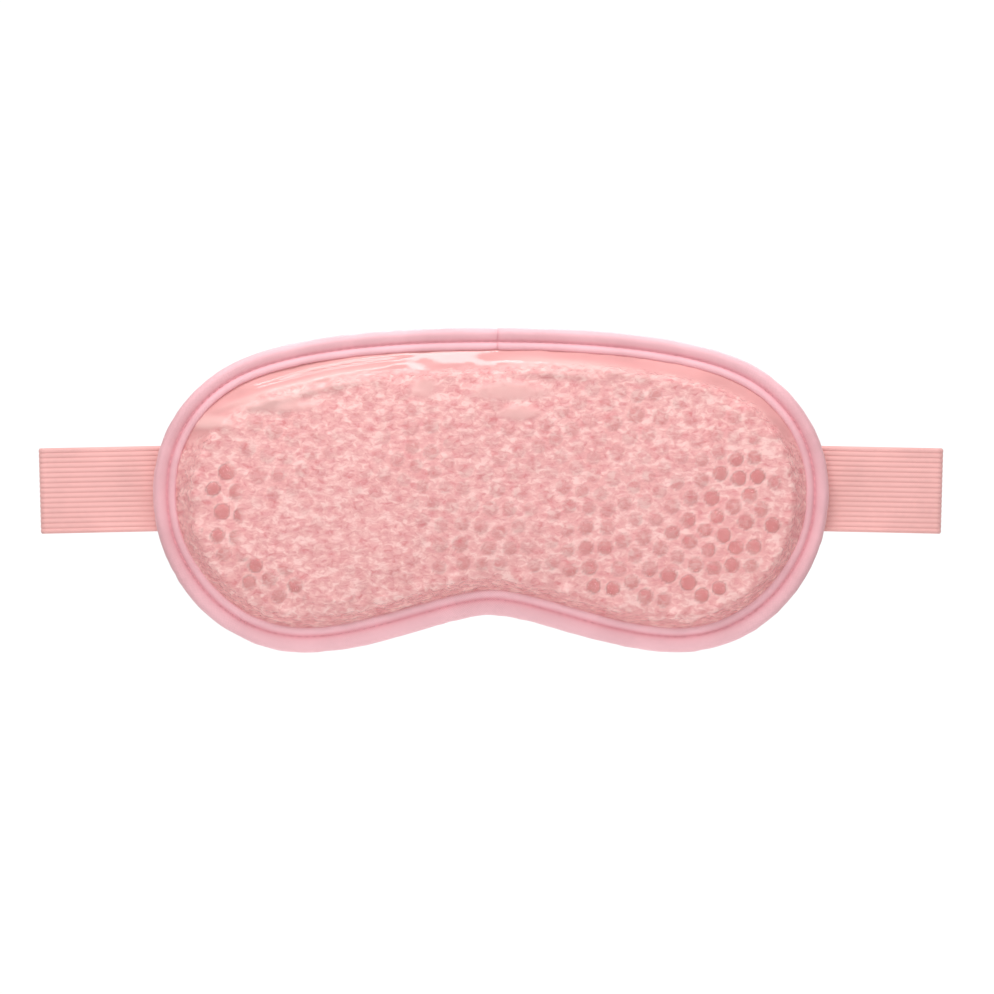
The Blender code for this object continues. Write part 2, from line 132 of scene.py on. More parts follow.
ELASTIC_WIDTH = 25.4 * MM
ELASTIC_SLANT = 0.028
FOLD_SLANT_FROM = 108.0 * MM
POINTS_PER_RIB = 6
EDGE_TUCK = 0.3 * MM  # the fold's strip starts this far inside the mask's edge
FOLD_RETURN = 16.0 * MM  # and ends this far behind the fold
TAB_LEAD = 3.2 * MM  # the tab's strip starts this far before its hinge

TAPE_BASE = 0.5  # share of a hook or loop tape's depth that its base takes up
HOOK_PITCH = (1.7 * MM, 1.5 * MM)
HOOK_THICKNESS, LOOP_THICKNESS = 0.16 * MM, 0.13 * MM
HOOK_PATH = ((0.0, 0.0), (0.0, 0.28), (0.08, 0.46), (0.28, 0.52), (0.42, 0.38))
LOOP_PATH = ((-0.45, -0.05), (-0.38, 0.34), (0.0, 0.5), (0.38, 0.34), (0.45, -0.05))
LOOP_COUNT = 2600
LOOP_MARGIN = 0.6 * MM
TACK_COUNT, TACK_SLANT, TACK_LENGTH, TACK_THREAD = 46, 0.35, 1.7 * MM, 0.40 * MM

# Tones of the crumpled film's milk, from painted shade in its dents to painted glints on its pale specks.
CRUMPLE_SHADE_AND_GLINT_TONES = (
    (0.38, (0.84, 0.29, 0.31)),
    (0.54, (0.88, 0.405, 0.405)),
    (0.66, (0.905, 0.465, 0.455)),
    (0.82, (0.98, 0.63, 0.60)),
)
FILM_GLOSS = (1.0, 0.95, 0.95)


class MaskSizes(bpy.types.PropertyGroup):
    """Sizes of the pouch and the binding that a user would change."""

    bead_diameter: FloatProperty(
        name="Bead diameter", description="Diameter of the largest gel beads", default=6.3 * MM, unit="LENGTH"
    )
    bead_spread: FloatProperty(
        name="Bead spread",
        description="Share by which the smallest beads are smaller than the largest",
        default=0.14,
        subtype="FACTOR",
    )
    fill_share: FloatProperty(
        name="Fill",
        description="Share of the pouch's room that the beads take up",
        default=0.62,
        subtype="FACTOR",
    )
    stitch_pitch: FloatProperty(
        name="Stitch pitch",
        description="Distance from one stitch of the binding to the next",
        default=2.6 * MM,
        unit="LENGTH",
    )


class StrapSizes(bpy.types.PropertyGroup):
    """Sizes of the elastic that a user would change."""

    rib_count: IntProperty(
        name="Ribs", description="Number of ribs side by side across the elastic", default=17, min=3
    )
    rib_height: FloatProperty(
        name="Rib height",
        description="How far a rib stands above the groove beside it",
        default=0.16 * MM,
        unit="LENGTH",
    )
    sag: FloatProperty(
        name="Sag",
        description="How much lower the elastic hangs at its folds than at its seams",
        default=0.8 * MM,
        unit="LENGTH",
    )


class MaskColours(bpy.types.PropertyGroup):
    """Colours of the mask's materials."""

    film: FloatVectorProperty(
        name="Film", description="Tint of the clear film",
        default=(0.995, 0.955, 0.955), subtype="COLOR", size=3,
    )
    gel: FloatVectorProperty(
        name="Gel", description="Tint of the gel beads",
        default=(0.99, 0.94, 0.935), subtype="COLOR", size=3,
    )
    plush: FloatVectorProperty(
        name="Plush", description="Colour of the plush back",
        default=(0.86, 0.42, 0.41), subtype="COLOR", size=3,
    )
    tape: FloatVectorProperty(
        name="Binding", description="Colour of the edge binding",
        default=(0.93, 0.53, 0.58), subtype="COLOR", size=3,
    )
    thread: FloatVectorProperty(
        name="Thread", description="Colour of the sewing thread",
        default=(0.78, 0.34, 0.38), subtype="COLOR", size=3,
    )
    elastic: FloatVectorProperty(
        name="Elastic", description="Colour of the elastic",
        default=(0.87, 0.47, 0.45), subtype="COLOR", size=3,
    )


# ------------------------------------------------------------------------------------------------ shapes


def smoothstep(low, high, value):
    """0 below low, 1 above high, and a smooth climb between them."""
    t = np.clip((value - low) / (high - low), 0.0, 1.0)
    return t * t * (3.0 - 2.0 * t)


def bell(value, width):
    """1 at zero, falling off on both sides."""
    return np.exp(-((value / width) ** 2))


def unit_rows(rows):
    """Rows scaled to a length of one."""
    return rows / np.linalg.norm(rows, axis=1)[:, None]


def arc_lengths(line):
    """How far along a line each of its points lies."""
    return np.concatenate([[0.0], np.cumsum(np.linalg.norm(np.diff(line, axis=0), axis=1))])


def bezier(start, handle_a, handle_b, end, count):
    """Points on a cubic Bezier, without its end point."""
    t = np.linspace(0.0, 1.0, count, endpoint=False)[:, None]
    s = 1.0 - t
    return s**3 * start + 3 * s * s * t * handle_a + 3 * s * t * t * handle_b + t**3 * end


def half_outline():
    """The right half of the mask's edge from the top centre to the notch, in metres."""
    chain = []
    for (start, leave, _, ahead), (end, arrive, back, _) in zip(OUTLINE, OUTLINE[1:]):
        start, leave, end, arrive = (np.array(pair) for pair in (start, leave, end, arrive))
        chain.append(bezier(start, start + ahead * leave, end - back * arrive, end, OUTLINE_STEPS))
    return REACH * np.vstack([*chain, OUTLINE[-1][0]])


HALF = half_outline()


def edge_ring(count, start_x=0.0):
    """Evenly spaced points clockwise round the mask's edge, their inward normals, and the edge's length."""
    left = HALF[1:-1][::-1] * np.array([-1.0, 1.0])
    loop = np.vstack([HALF, left, HALF[:1]])
    places = arc_lengths(loop)
    at = (start_x + np.linspace(0.0, places[-1], count, endpoint=False)) % places[-1]
    ring = np.column_stack([np.interp(at, places, loop[:, axis]) for axis in range(2)])
    along = unit_rows(np.roll(ring, -1, axis=0) - np.roll(ring, 1, axis=0))
    return ring, np.column_stack([along[:, 1], -along[:, 0]]), places[-1]


def edge_heights(x):
    """Lower and upper height of the mask's edge at a distance x from the middle."""
    tip_at = int(np.argmax(HALF[:, 0]))
    upper, lower = HALF[: tip_at + 1], HALF[tip_at:][::-1]
    return np.interp(x, lower[:, 0], lower[:, 1]), np.interp(x, upper[:, 0], upper[:, 1])


def tape_share(z):
    """How much further in the binding reaches: it was folded a little wider along the bottom."""
    return 1.0 + 0.12 * smoothstep(-12.0 * MM, -30.0 * MM, z)


def blur(field, radius):
    """A field smoothed by a Gaussian whose width is given in metres."""
    reach = max(1, int(math.ceil(3.0 * radius / GRID)))
    kernel = np.exp(-0.5 * (np.arange(-reach, reach + 1) * GRID / radius) ** 2)
    kernel /= kernel.sum()
    padded = np.pad(field, reach, mode="edge")
    rows = np.zeros((padded.shape[0], field.shape[1]))
    for i, weight in enumerate(kernel):
        rows += weight * padded[:, i : i + field.shape[1]]
    out = np.zeros(field.shape)
    for i, weight in enumerate(kernel):
        out += weight * rows[i : i + field.shape[0]]
    return out


class Pouch:
    """The pouch on a regular grid: how far inside the edge each point lies, and the room for beads there."""

    def __init__(self):
        half_x = math.ceil(REACH / GRID) + 1
        low_z = math.floor(BINDING_LOW.z / GRID) - 1
        high_z = math.ceil(BINDING_HIGH.z / GRID) + 1
        self.xs = np.arange(-half_x, half_x + 1) * GRID
        self.zs = np.arange(low_z, high_z + 1) * GRID
        self.x, self.z = np.meshgrid(self.xs, self.zs)
        self.inside = self.edge_distance()
        rim = RIM_WIDTH * tape_share(self.z)
        self.beyond_rim = self.inside - rim
        self.slope_z, self.slope_x = np.gradient(self.inside, GRID)
        self.bead_in = self.inside - (rim + self.clear_margin())
        depth = EDGE_ROOM + MIDDLE_ROOM * (1.0 - np.exp(-self.bead_in / ROOM_RUN))
        self.room = np.where(self.bead_in > 0.0, depth, EDGE_ROOM) * MM

    def edge_distance(self):
        """Distance inside the edge, negative outside it."""
        points = np.column_stack([self.x.ravel(), self.z.ravel()])
        nearest = np.full(len(points), 1.0)
        for chunk in np.array_split(edge_ring(720)[0], 12):
            gaps = points[:, None, :] - chunk[None, :, :]
            nearest = np.minimum(nearest, np.sqrt((gaps**2).sum(axis=2)).min(axis=1))
        low, high = edge_heights(np.abs(points[:, 0]))
        inside = (np.abs(points[:, 0]) < REACH) & (points[:, 1] > low) & (points[:, 1] < high)
        return np.where(inside, nearest, -nearest).reshape(self.x.shape)

    def clear_margin(self):
        """Width of the clear film inside the rim: widest at the top left, as the beads have slid down."""
        up = smoothstep(-0.6 * REACH, 0.5 * REACH, self.z)
        side = smoothstep(0.35 * REACH, -0.25 * REACH, self.x)
        return (1.0 + (3.0 + 2.4 * side) * up) * MM

    def cell(self, x, z):
        """Row and column of the grid point nearest to each place."""
        column = np.clip(np.rint((x - self.xs[0]) / GRID).astype(int), 0, len(self.xs) - 1)
        row = np.clip(np.rint((z - self.zs[0]) / GRID).astype(int), 0, len(self.zs) - 1)
        return row, column

    def sample(self, field, x, z):
        """A field read between its grid points."""
        u = np.clip((x - self.xs[0]) / GRID, 0, len(self.xs) - 1.001)
        v = np.clip((z - self.zs[0]) / GRID, 0, len(self.zs) - 1.001)
        i, j = u.astype(int), v.astype(int)
        a, b = u - i, v - j
        near = field[j, i] * (1 - a) + field[j, i + 1] * a
        far = field[j + 1, i] * (1 - a) + field[j + 1, i + 1] * a
        return near * (1 - b) + far * b

    def oval(self, x, z, across, high):
        """Squared distance from an oval's middle, 1 on its edge; its place and half sizes in millimetres."""
        return ((self.x / MM - x) / across) ** 2 + ((self.z / MM - z) / high) ** 2

    def mottle(self, rng, radius):
        """Random patches of about a radius."""
        return blur(rng.standard_normal(self.x.shape), radius)


@functools.lru_cache(maxsize=1)
def pouch_grid():
    """The pouch's grid, worked out once."""
    return Pouch()


def settle_beads(pouch, sizes):
    """Centres and radii of beads pushed apart to fill the pouch; y counts forward from the rear film."""
    rng = np.random.default_rng(SEED)
    largest = 0.5 * sizes.bead_diameter
    room = float((pouch.room * (pouch.bead_in > 0.0)).sum()) * GRID * GRID
    mean = largest * (1.0 - 0.5 * sizes.bead_spread)
    count = int(sizes.fill_share * room / (4.0 / 3.0 * math.pi * mean**3))
    rows, columns = np.nonzero(pouch.bead_in > largest)
    picked = rng.choice(len(rows), count, replace=False)
    radius = largest * (1.0 - sizes.bead_spread * rng.random(count))
    centre = np.column_stack([pouch.xs[columns[picked]], np.zeros(count), pouch.zs[rows[picked]]])
    centre[:, 1] = radius + rng.random(count) * 3.5 * MM
    reach = radius[:, None] + radius[None, :]
    for _ in range(SETTLE_STEPS):
        gap = centre[:, None, :] - centre[None, :, :]
        distance = np.sqrt((gap**2).sum(axis=2)) + 1e-9
        overlap = np.clip(reach - distance, 0.0, None)
        np.fill_diagonal(overlap, 0.0)
        centre += 0.30 * (gap * (overlap / distance)[:, :, None]).sum(axis=1)
        row, column = pouch.cell(centre[:, 0], centre[:, 2])
        short = np.clip(0.93 * radius - pouch.bead_in[row, column], 0.0, None)
        centre[:, 0] += 0.8 * short * pouch.slope_x[row, column]
        centre[:, 2] += 0.8 * short * pouch.slope_z[row, column]
        top = np.maximum(pouch.room[row, column] - 0.95 * radius, radius)
        centre[:, 1] = np.clip(centre[:, 1], radius, top)
    return centre, radius


def bead_fronts(pouch, centre, radius):
    """How far forward the beads' own fronts stand at each grid point, 0 where there is none."""
    front = np.zeros(pouch.x.shape)
    for (x, y, z), r in zip(centre, radius):
        i0, i1 = np.searchsorted(pouch.xs, [x - r, x + r])
        j0, j1 = np.searchsorted(pouch.zs, [z - r, z + r])
        gap = (pouch.xs[None, i0:i1] - x) ** 2 + (pouch.zs[j0:j1, None] - z) ** 2
        cap = y + np.sqrt(np.clip(r * r - gap, 0.0, None))
        here = front[j0:j1, i0:i1]
        front[j0:j1, i0:i1] = np.where(gap < r * r, np.maximum(here, cap), here)
    return front


def film_heights(pouch, fronts):
    """Height of the film over the rear film: held at the rim, taut over the beads, slack at the top."""
    beads = fronts > 0.0
    spread = 3.2 * MM
    crowd = blur(np.where(beads, fronts, 0.0), spread) / np.maximum(blur(beads * 1.0, spread), 0.05)
    texture = blur(fronts, 0.8 * MM) - blur(fronts, 3.0 * MM)
    rest = np.clip(crowd + FILM_CLEARANCE + 0.42 * texture, 0.0, None)
    held = blur(np.where(pouch.bead_in > 1.2 * MM, 1.0, 0.0), 1.0 * MM)
    free = pouch.beyond_rim > -0.6 * MM
    height = np.where(free, np.maximum(rest * held, RIM_HEIGHT), RIM_HEIGHT)
    floor = np.where(held > 0.5, rest, RIM_HEIGHT)
    for _ in range(DRAPE_STEPS):
        above_below = np.roll(height, 1, 0) + np.roll(height, -1, 0)
        mean = 0.25 * (above_below + np.roll(height, 1, 1) + np.roll(height, -1, 1))
        height = np.where(free, np.maximum(mean - DRAPE_PULL, floor), RIM_HEIGHT)
    return np.where(free, blur(height, 0.5 * MM), RIM_HEIGHT)


def crease(pouch, points, width, height):
    """A soft ridge in the film that follows a smooth line through a few points (in millimetres)."""
    line = np.array(points) * MM
    fine = np.linspace(0.0, 1.0, 90)
    xs, zs = (np.interp(fine, np.linspace(0.0, 1.0, len(line)), line[:, axis]) for axis in range(2))
    for _ in range(20):
        for values in (xs, zs):
            values[1:-1] = 0.5 * values[1:-1] + 0.25 * (values[:-2] + values[2:])
    ridge = np.zeros(pouch.x.shape)
    for k, (x, z) in enumerate(zip(xs, zs)):
        taper = math.sin(math.pi * (k + 0.5) / len(xs)) ** 0.7
        gap = (pouch.x - x) ** 2 + (pouch.z - z) ** 2
        ridge = np.maximum(ridge, taper * np.exp(-gap / (width * MM) ** 2))
    return ridge * height * MM


def film_wrinkles(pouch):
    """Loose folds of the film in the clear band along the top, and fine ones low in the left lobe."""
    creases = [
        (((-86, 22.0), (-66, 29.0), (-46, 34.0), (-24, 37.6)), 1.1, 1.5),
        (((-74, 29.5), (-56, 35.2), (-40, 38.4), (-22, 40.3)), 0.9, 0.9),
        (((-80, 21.5), (-62, 27.0), (-46, 31.0), (-30, 34.0)), 1.3, 1.0),
        (((-4, 38.2), (14, 38.0), (32, 36.4), (50, 32.5)), 1.7, 1.3),
        (((2, 34.4), (20, 34.2), (38, 32.0)), 1.0, 0.6),
        (((-88, 19), (-80, 20), (-72, 17)), 1.6, 0.5),
    ]
    for k in range(5):
        x, z = -49.0 + 0.8 * k, -32.5 - 1.8 * k
        creases.append((((x, z), (x + 5.0, z - 0.5), (x + 10.0, z + 0.4)), 0.5, 0.5))
    return sum(crease(pouch, *entry) for entry in creases) + 0.4 * MM * air_pockets(pouch)


def wet_zones(pouch):
    """Where the film clings wet to the beads: the ends of both lobes and the lower edge on the right."""
    patches = pouch.mottle(np.random.default_rng(SEED + 4), 5.0 * MM)
    zones = 0.16 + 0.16 * np.clip(patches / patches.std(), -1.0, 2.0)
    zones += 0.3 * (1.0 - smoothstep(0.4, 1.3, pouch.oval(60.0, -16.0, 36.0, 24.0)))
    for oval in (
        (78, -8, 16, 21),
        (58, -32, 26, 9),
        (-84, -4, 10, 19),
        (22, -29, 22, 6),
        (-70, -30, 14, 9),
        (-35, -36, 7, 6),
    ):
        zones = np.maximum(zones, 1.0 - smoothstep(0.6, 1.5, pouch.oval(*oval)))
    uneven = pouch.mottle(np.random.default_rng(SEED + 5), 2.2 * MM)
    return zones * np.clip(0.82 + 0.20 * uneven / uneven.std(), 0.35, 1.0)


def clear_band(pouch):
    """The slack band along the top, where no beads lie under the film."""
    low = 23.0 * MM - 0.0009 * (pouch.x / MM) ** 2 * MM
    return smoothstep(low - 4.0 * MM, low + 2.0 * MM, pouch.z)


def air_pockets(pouch):
    """Small places near the top where the film has lifted smoothly off the beads."""
    pockets = np.zeros(pouch.x.shape)
    for oval in ((5, 29, 11, 2.6), (8, 22.6, 6, 2.2), (-84, 20, 7, 2.2), (-20, 30, 4, 3), (-62, 25, 12, 2)):
        pockets = np.maximum(pockets, 1.0 - smoothstep(0.0, 1.7, pouch.oval(*oval)))
    return pockets


def droop(x, sag):
    """Height of the elastic's middle line: a little raised at the seam, low at the fold."""
    reach = np.abs(x)
    raised = 0.45 * sag * smoothstep(0.45 * SEAM_X, SEAM_X, reach)
    return raised - sag * np.clip((reach - SEAM_X) / (FOLD_X - SEAM_X), 0.0, 1.0)


def straight(start, end, step=2.0 * MM):
    """Points from one place to another, evenly spaced."""
    start, end = np.array(start), np.array(end)
    count = max(2, int(math.ceil(np.linalg.norm(end - start) / step)) + 1)
    return [tuple(p) for p in np.linspace(start, end, count)]


# ------------------------------------------------------------------------------------------------ helpers


def select_only(*things):
    """Leave only these objects selected, the first one active."""
    bpy.ops.object.select_all(action="DESELECT")
    for thing in things:
        thing.select_set(True)
    bpy.context.view_layer.objects.active = things[0]


def mesh_piece(name, points, faces):
    """An object at the origin made from points and faces worked out by a formula."""
    mesh = bpy.data.meshes.new(name)
    mesh.from_pydata([tuple(p) for p in points], [], [tuple(int(i) for i in f) for f in faces])
    mesh.update()
    piece = bpy.data.objects.new(name, mesh)
    bpy.context.scene.collection.objects.link(piece)
    return piece


def outwards(piece):
    """Turn a closed piece's faces outwards."""
    data = bmesh.new()
    data.from_mesh(piece.data)
    bmesh.ops.recalc_face_normals(data, faces=data.faces)
    if data.calc_volume(signed=True) < 0.0:
        bmesh.ops.reverse_faces(data, faces=data.faces)
    data.to_mesh(piece.data)
    data.free()


def smooth(piece, degrees=35.0):
    """Shade a piece smooth, with its hard edges kept."""
    select_only(piece)
    bpy.ops.object.shade_smooth_by_angle(angle=math.radians(degrees))


def apply_modifiers(piece):
    """Apply all of a piece's modifiers."""
    select_only(piece)
    for modifier in list(piece.modifiers):
        bpy.ops.object.modifier_apply(modifier=modifier.name)


def settle(piece):
    """Put a piece's place into its mesh, so that its object sits at the origin."""
    select_only(piece)
    bpy.ops.object.transform_apply(location=True, rotation=True, scale=True)


def paint(piece, **fields):
    """Keep a value for each vertex, under a name that a material reads."""
    for name, field in fields.items():
        attribute = piece.data.attributes.new(name, "FLOAT", "POINT")
        attribute.data.foreach_set("value", field.astype(np.float32))


def paint_uv(piece, by_vertex):
    """Give a piece a UV map in metres, one place for each vertex."""
    layer = piece.data.uv_layers.new(name="UVMap")
    corner = np.zeros(len(piece.data.loops), dtype=np.int32)
    piece.data.loops.foreach_get("vertex_index", corner)
    layer.data.foreach_set("uv", by_vertex[corner].astype(np.float32).ravel())


def give(piece, material, body=None, stands_for=()):
    """Give a piece its material, its body and the solids that it stands for."""
    piece.data.materials.clear()
    piece.data.materials.append(material)
    if body:
        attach(piece, body)
    if stands_for:
        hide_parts(*stands_for)


def plain_ball(segments, rings, radius, axis):
    """Points and faces of a ball whose poles are turned about an axis, 0 for X and 1 for Y."""
    bpy.ops.object.select_all(action="DESELECT")
    bpy.ops.mesh.primitive_uv_sphere_add(
        segments=segments, ring_count=rings, radius=radius, location=(0.0, 0.0, 0.0)
    )
    ball = bpy.context.active_object
    ball.rotation_euler[axis] = math.pi / 2
    settle(ball)
    points = np.array([v.co for v in ball.data.vertices])
    faces = [tuple(p.vertices) for p in ball.data.polygons]
    bpy.data.objects.remove(ball, do_unlink=True)
    return points, faces


def copies(parts, own_faces):
    """Points and faces of many copies of one shape, each given by its own points."""
    size = len(parts[0])
    faces = [tuple(i + k * size for i in face) for k in range(len(parts)) for face in own_faces]
    return np.vstack(parts), faces


def tube_faces(count, size):
    """Faces between neighbouring closed rings of a loft."""
    faces = []
    for k in range(count - 1):
        for i in range(size):
            j = (i + 1) % size
            faces.append((k * size + i, k * size + j, (k + 1) * size + j, (k + 1) * size + i))
    return faces


def sheet_grid(pouch, inset):
    """Which grid points lie on a sheet with the mask's outline, their place, and the faces between them."""
    kept = pouch.inside > inset
    number = -np.ones(kept.shape, dtype=int)
    number[kept] = np.arange(kept.sum())
    j, i = np.nonzero(kept[:-1, :-1] & kept[:-1, 1:] & kept[1:, 1:] & kept[1:, :-1])
    faces = np.column_stack([number[j, i], number[j, i + 1], number[j + 1, i + 1], number[j + 1, i]])
    used = np.zeros(kept.sum(), dtype=bool)
    used[faces.ravel()] = True
    renumber = np.cumsum(used) - 1
    rows, columns = (places[used] for places in np.nonzero(kept))
    beyond = np.clip(pouch.inside[rows, columns] - inset, 0.0, None)
    near = beyond < 0.9 * GRID
    x = pouch.x[rows, columns] - near * beyond * pouch.slope_x[rows, columns]
    z = pouch.z[rows, columns] - near * beyond * pouch.slope_z[rows, columns]
    return rows, columns, x, z, renumber[faces]


def shaded(colour, factor):
    """A colour made lighter or darker."""
    return tuple(min(1.0, c * factor) for c in colour)


# ------------------------------------------------------------------------------------------------ materials


class Finish:
    """The nodes of a material or of the surroundings, with short ways to add them."""

    def __init__(self, owner, output="OutputMaterial"):
        self.owner = owner
        owner.use_nodes = True
        self.tree = owner.node_tree
        self.tree.nodes.clear()
        self.output = self.add(output)

    def put(self, socket, value):
        """Give an input a plain value, or the socket or node that feeds it."""
        if isinstance(value, bpy.types.Node):
            value = value.outputs[0]
        if isinstance(value, bpy.types.NodeSocket):
            self.tree.links.new(value, socket)
        elif socket.type == "RGBA":
            socket.default_value = (*value, 1.0)
        else:
            socket.default_value = value

    def add(self, kind, *inputs, **values):
        """A node, with its first inputs in order, and its settings and other inputs by name."""
        node = self.tree.nodes.new("ShaderNode" + kind)
        for key, value in values.items():
            if hasattr(node, key):
                setattr(node, key, value)
            else:
                self.put(node.inputs[key.replace("_", " ")], value)
        for socket, value in zip(node.inputs, inputs):
            self.put(socket, value)
        return node

    def coordinates(self, kind="Object"):
        """The place on the piece, in its own coordinates or by its UV map."""
        return self.add("TexCoord").outputs[kind]

    def noise(self, place, scale, detail, **values):
        """A noise pattern's value."""
        return self.add("TexNoise", Vector=place, Scale=scale, Detail=detail, **values).outputs["Fac"]

    def field(self, name):
        """A value that is painted on the piece."""
        return self.add("Attribute", attribute_name=name).outputs["Fac"]

    def math(self, operation, *inputs):
        """The result of a sum on values."""
        return self.add("Math", *inputs, operation=operation).outputs["Value"]

    def spread(self, value, *ends):
        """A value stretched from one range to another."""
        node = self.add("MapRange", Value=value)
        for key, end in zip(("From Min", "From Max", "To Min", "To Max"), ends):
            node.inputs[key].default_value = end
        return node.outputs["Result"]

    def between(self, factor, low, high):
        """A value between two others."""
        return self.add("Mix", data_type="FLOAT", Factor=factor, A=low, B=high).outputs["Result"]

    def tones(self, value, stops):
        """A colour picked from a ramp."""
        node = self.add("ValToRGB", Fac=value)
        elements = node.color_ramp.elements
        while len(elements) < len(stops):
            elements.new(0.5)
        for element, (place, colour) in zip(elements, stops):
            element.position, element.color = place, (*colour, 1.0)
        return node.outputs["Color"]

    def relief(self, height, strength, depth):
        """A normal bent by a height."""
        return self.add("Bump", Height=height, Strength=strength, Distance=depth).outputs["Normal"]

    def mixed(self, factor, low, high):
        """A mix of two shaders."""
        return self.add("MixShader", factor, low, high)

    def end(self, shader):
        """Finish with a shader on the surface."""
        self.put(self.output.inputs["Surface"], shader)
        return self.owner


class Cloth(Finish):
    """A cloth's finish: one matt shader with a little sheen, its colour and relief added to it."""

    def __init__(self, name, colour, roughness, sheen):
        super().__init__(bpy.data.materials.new(name))
        self.shader = self.add(
            "BsdfPrincipled",
            Roughness=roughness,
            Base_Color=colour,
            Sheen_Weight=sheen,
            Sheen_Roughness=0.45,
            Sheen_Tint=(1.0, 0.9, 0.9),
            Specular_IOR_Level=0.3,
        )
        self.end(self.shader)

    def tint(self, value, colour, *stops):
        """Colour the cloth by lighter and darker shades of a colour."""
        self.colour = self.tones(value, [(place, shaded(colour, factor)) for place, factor in stops])
        self.put(self.shader.inputs["Base Color"], self.colour)

    def rough(self, height, strength, depth):
        """Give the cloth a fine relief."""
        self.put(self.shader.inputs["Normal"], self.relief(height, strength, depth))

    def darken(self, shade, field):
        """Multiply the cloth's colour by a shade where its own attribute says so."""
        amount = self.field(field)
        mix = self.add("Mix", data_type="RGBA", blend_type="MULTIPLY", Factor=amount, A=self.colour, B=shade)
        self.colour = mix.outputs["Result"]
        self.put(self.shader.inputs["Base Color"], self.colour)


def film_material(colours):
    """Clear tinted film: glossy, milky where no bead wets it, and finely crumpled over the beads, with
    painted shade, glints and highlights in its milk.
    """
    film = Finish(bpy.data.materials.new("clear_pink_film"))
    place = film.add("Mapping", Vector=film.coordinates(), Scale=(0.75, 1.0, 1.25)).outputs["Vector"]
    crumple = film.noise(place, 620.0, 3.0, Roughness=0.6, Distortion=0.7)
    cells = film.add("TexVoronoi", Vector=place, Scale=330.0, feature="SMOOTH_F1", Smoothness=0.5)
    drift = film.noise(place, 60.0, 2.0)
    touch, crowd, fold = (film.field(name) for name in ("touch", "crowd", "fold"))

    jumble = film.math("MULTIPLY_ADD", cells.outputs["Distance"], 0.30, crumple)
    calm = film.between(crowd, 0.60, jumble)
    # The milk's colour carries painted shade and painted glints from the crumple, and painted highlights
    # where the fold value is high.
    cloud = film.tones(film.between(fold, calm, 0.80), CRUMPLE_SHADE_AND_GLINT_TONES)
    speck = film.spread(jumble, 0.42, 0.80, 0.78, 0.93)
    band = film.spread(drift, 0.35, 0.65, 0.66, 0.84)
    # The folds, air pockets and bead rims take more milk, which paints highlights there.
    clouded = film.between(fold, film.between(crowd, band, speck), 0.90)
    amount = film.between(touch, clouded, 0.16)
    normal = film.relief(film.between(crowd, drift, jumble), 0.9, 0.0013)

    clear = film.add("BsdfTransparent", Color=colours.film)
    milk = film.add("BsdfDiffuse", Color=cloud)
    gloss = film.add("BsdfGlossy", Roughness=0.13, Color=FILM_GLOSS, Normal=normal)
    shine = film.add("Fresnel", IOR=1.5, Normal=normal)
    outer = film.mixed(shine, film.mixed(amount, clear, milk), gloss)
    inner = film.add("BsdfTransparent", Color=(1.0, 1.0, 1.0))
    return film.end(film.mixed(film.add("NewGeometry").outputs["Backfacing"], outer, inner))


def rear_film_material(colours):
    """The flat rear film, seen through the beads: clear, with a soft gloss."""
    film = Finish(bpy.data.materials.new("rear_clear_film"))
    normal = film.relief(film.noise(film.coordinates(), 90.0, 4.0), 0.5, 0.001)
    clear = film.add("BsdfTransparent", Color=shaded(colours.film, 1.02))
    gloss = film.add("BsdfGlossy", Roughness=0.2, Color=FILM_GLOSS, Normal=normal)
    return film.end(film.mixed(0.08, clear, gloss))


def gel_material(colours):
    """Wet water gel: clear pink with a little cloud in it, which lets the light through to the back."""
    gel = Finish(bpy.data.materials.new("pink_water_gel"))
    wet = gel.add("BsdfPrincipled", Roughness=0.06, IOR=1.33, Transmission_Weight=1.0, Base_Color=colours.gel)
    cloud = gel.add("BsdfDiffuse", Color=(0.98, 0.40, 0.40))
    clear = gel.add("BsdfTransparent", Color=shaded(colours.gel, 0.99))
    shadow = gel.add("LightPath").outputs["Is Shadow Ray"]
    return gel.end(gel.mixed(shadow, gel.mixed(0.55, wet, cloud), clear))


def plush_material(colours):
    """Short soft pile: tufts a millimetre across, lighter at their tips."""
    plush = Cloth("plush_pile", colours.plush, 0.9, 0.5)
    place = plush.coordinates()
    tufts = plush.noise(place, 900.0, 4.0, Roughness=0.7)
    tone = plush.math("MULTIPLY_ADD", plush.noise(place, 45.0, 2.0), 0.6, tufts)
    plush.tint(tone, colours.plush, (0.45, 0.80), (0.95, 1.12))
    plush.rough(tufts, 0.8, 0.0004)
    return plush.owner


def woven_cloth(name, colour, roughness, sheen, threads, depth):
    """Cloth with threads along the piece's own UV map, in metres; threads is how many per metre each way."""
    cloth = Cloth(name, colour, roughness, sheen)
    place = cloth.coordinates("UV")
    axes = cloth.add("SeparateXYZ", Vector=place).outputs
    turns = [cloth.math("MULTIPLY", axes[axis], 2.0 * math.pi * pitch) for axis, pitch in zip("XY", threads)]
    weave = cloth.math("MULTIPLY", *(cloth.math("SINE", turn) for turn in turns))
    height = cloth.math("MULTIPLY_ADD", weave, 0.5, cloth.noise(place, 900.0, 3.0))
    tone = cloth.math("MULTIPLY_ADD", height, 0.35, cloth.noise(place, 60.0, 2.0))
    cloth.tint(tone, colour, (0.35, 0.88), (0.95, 1.10))
    cloth.rough(height, 0.6, depth)
    return cloth


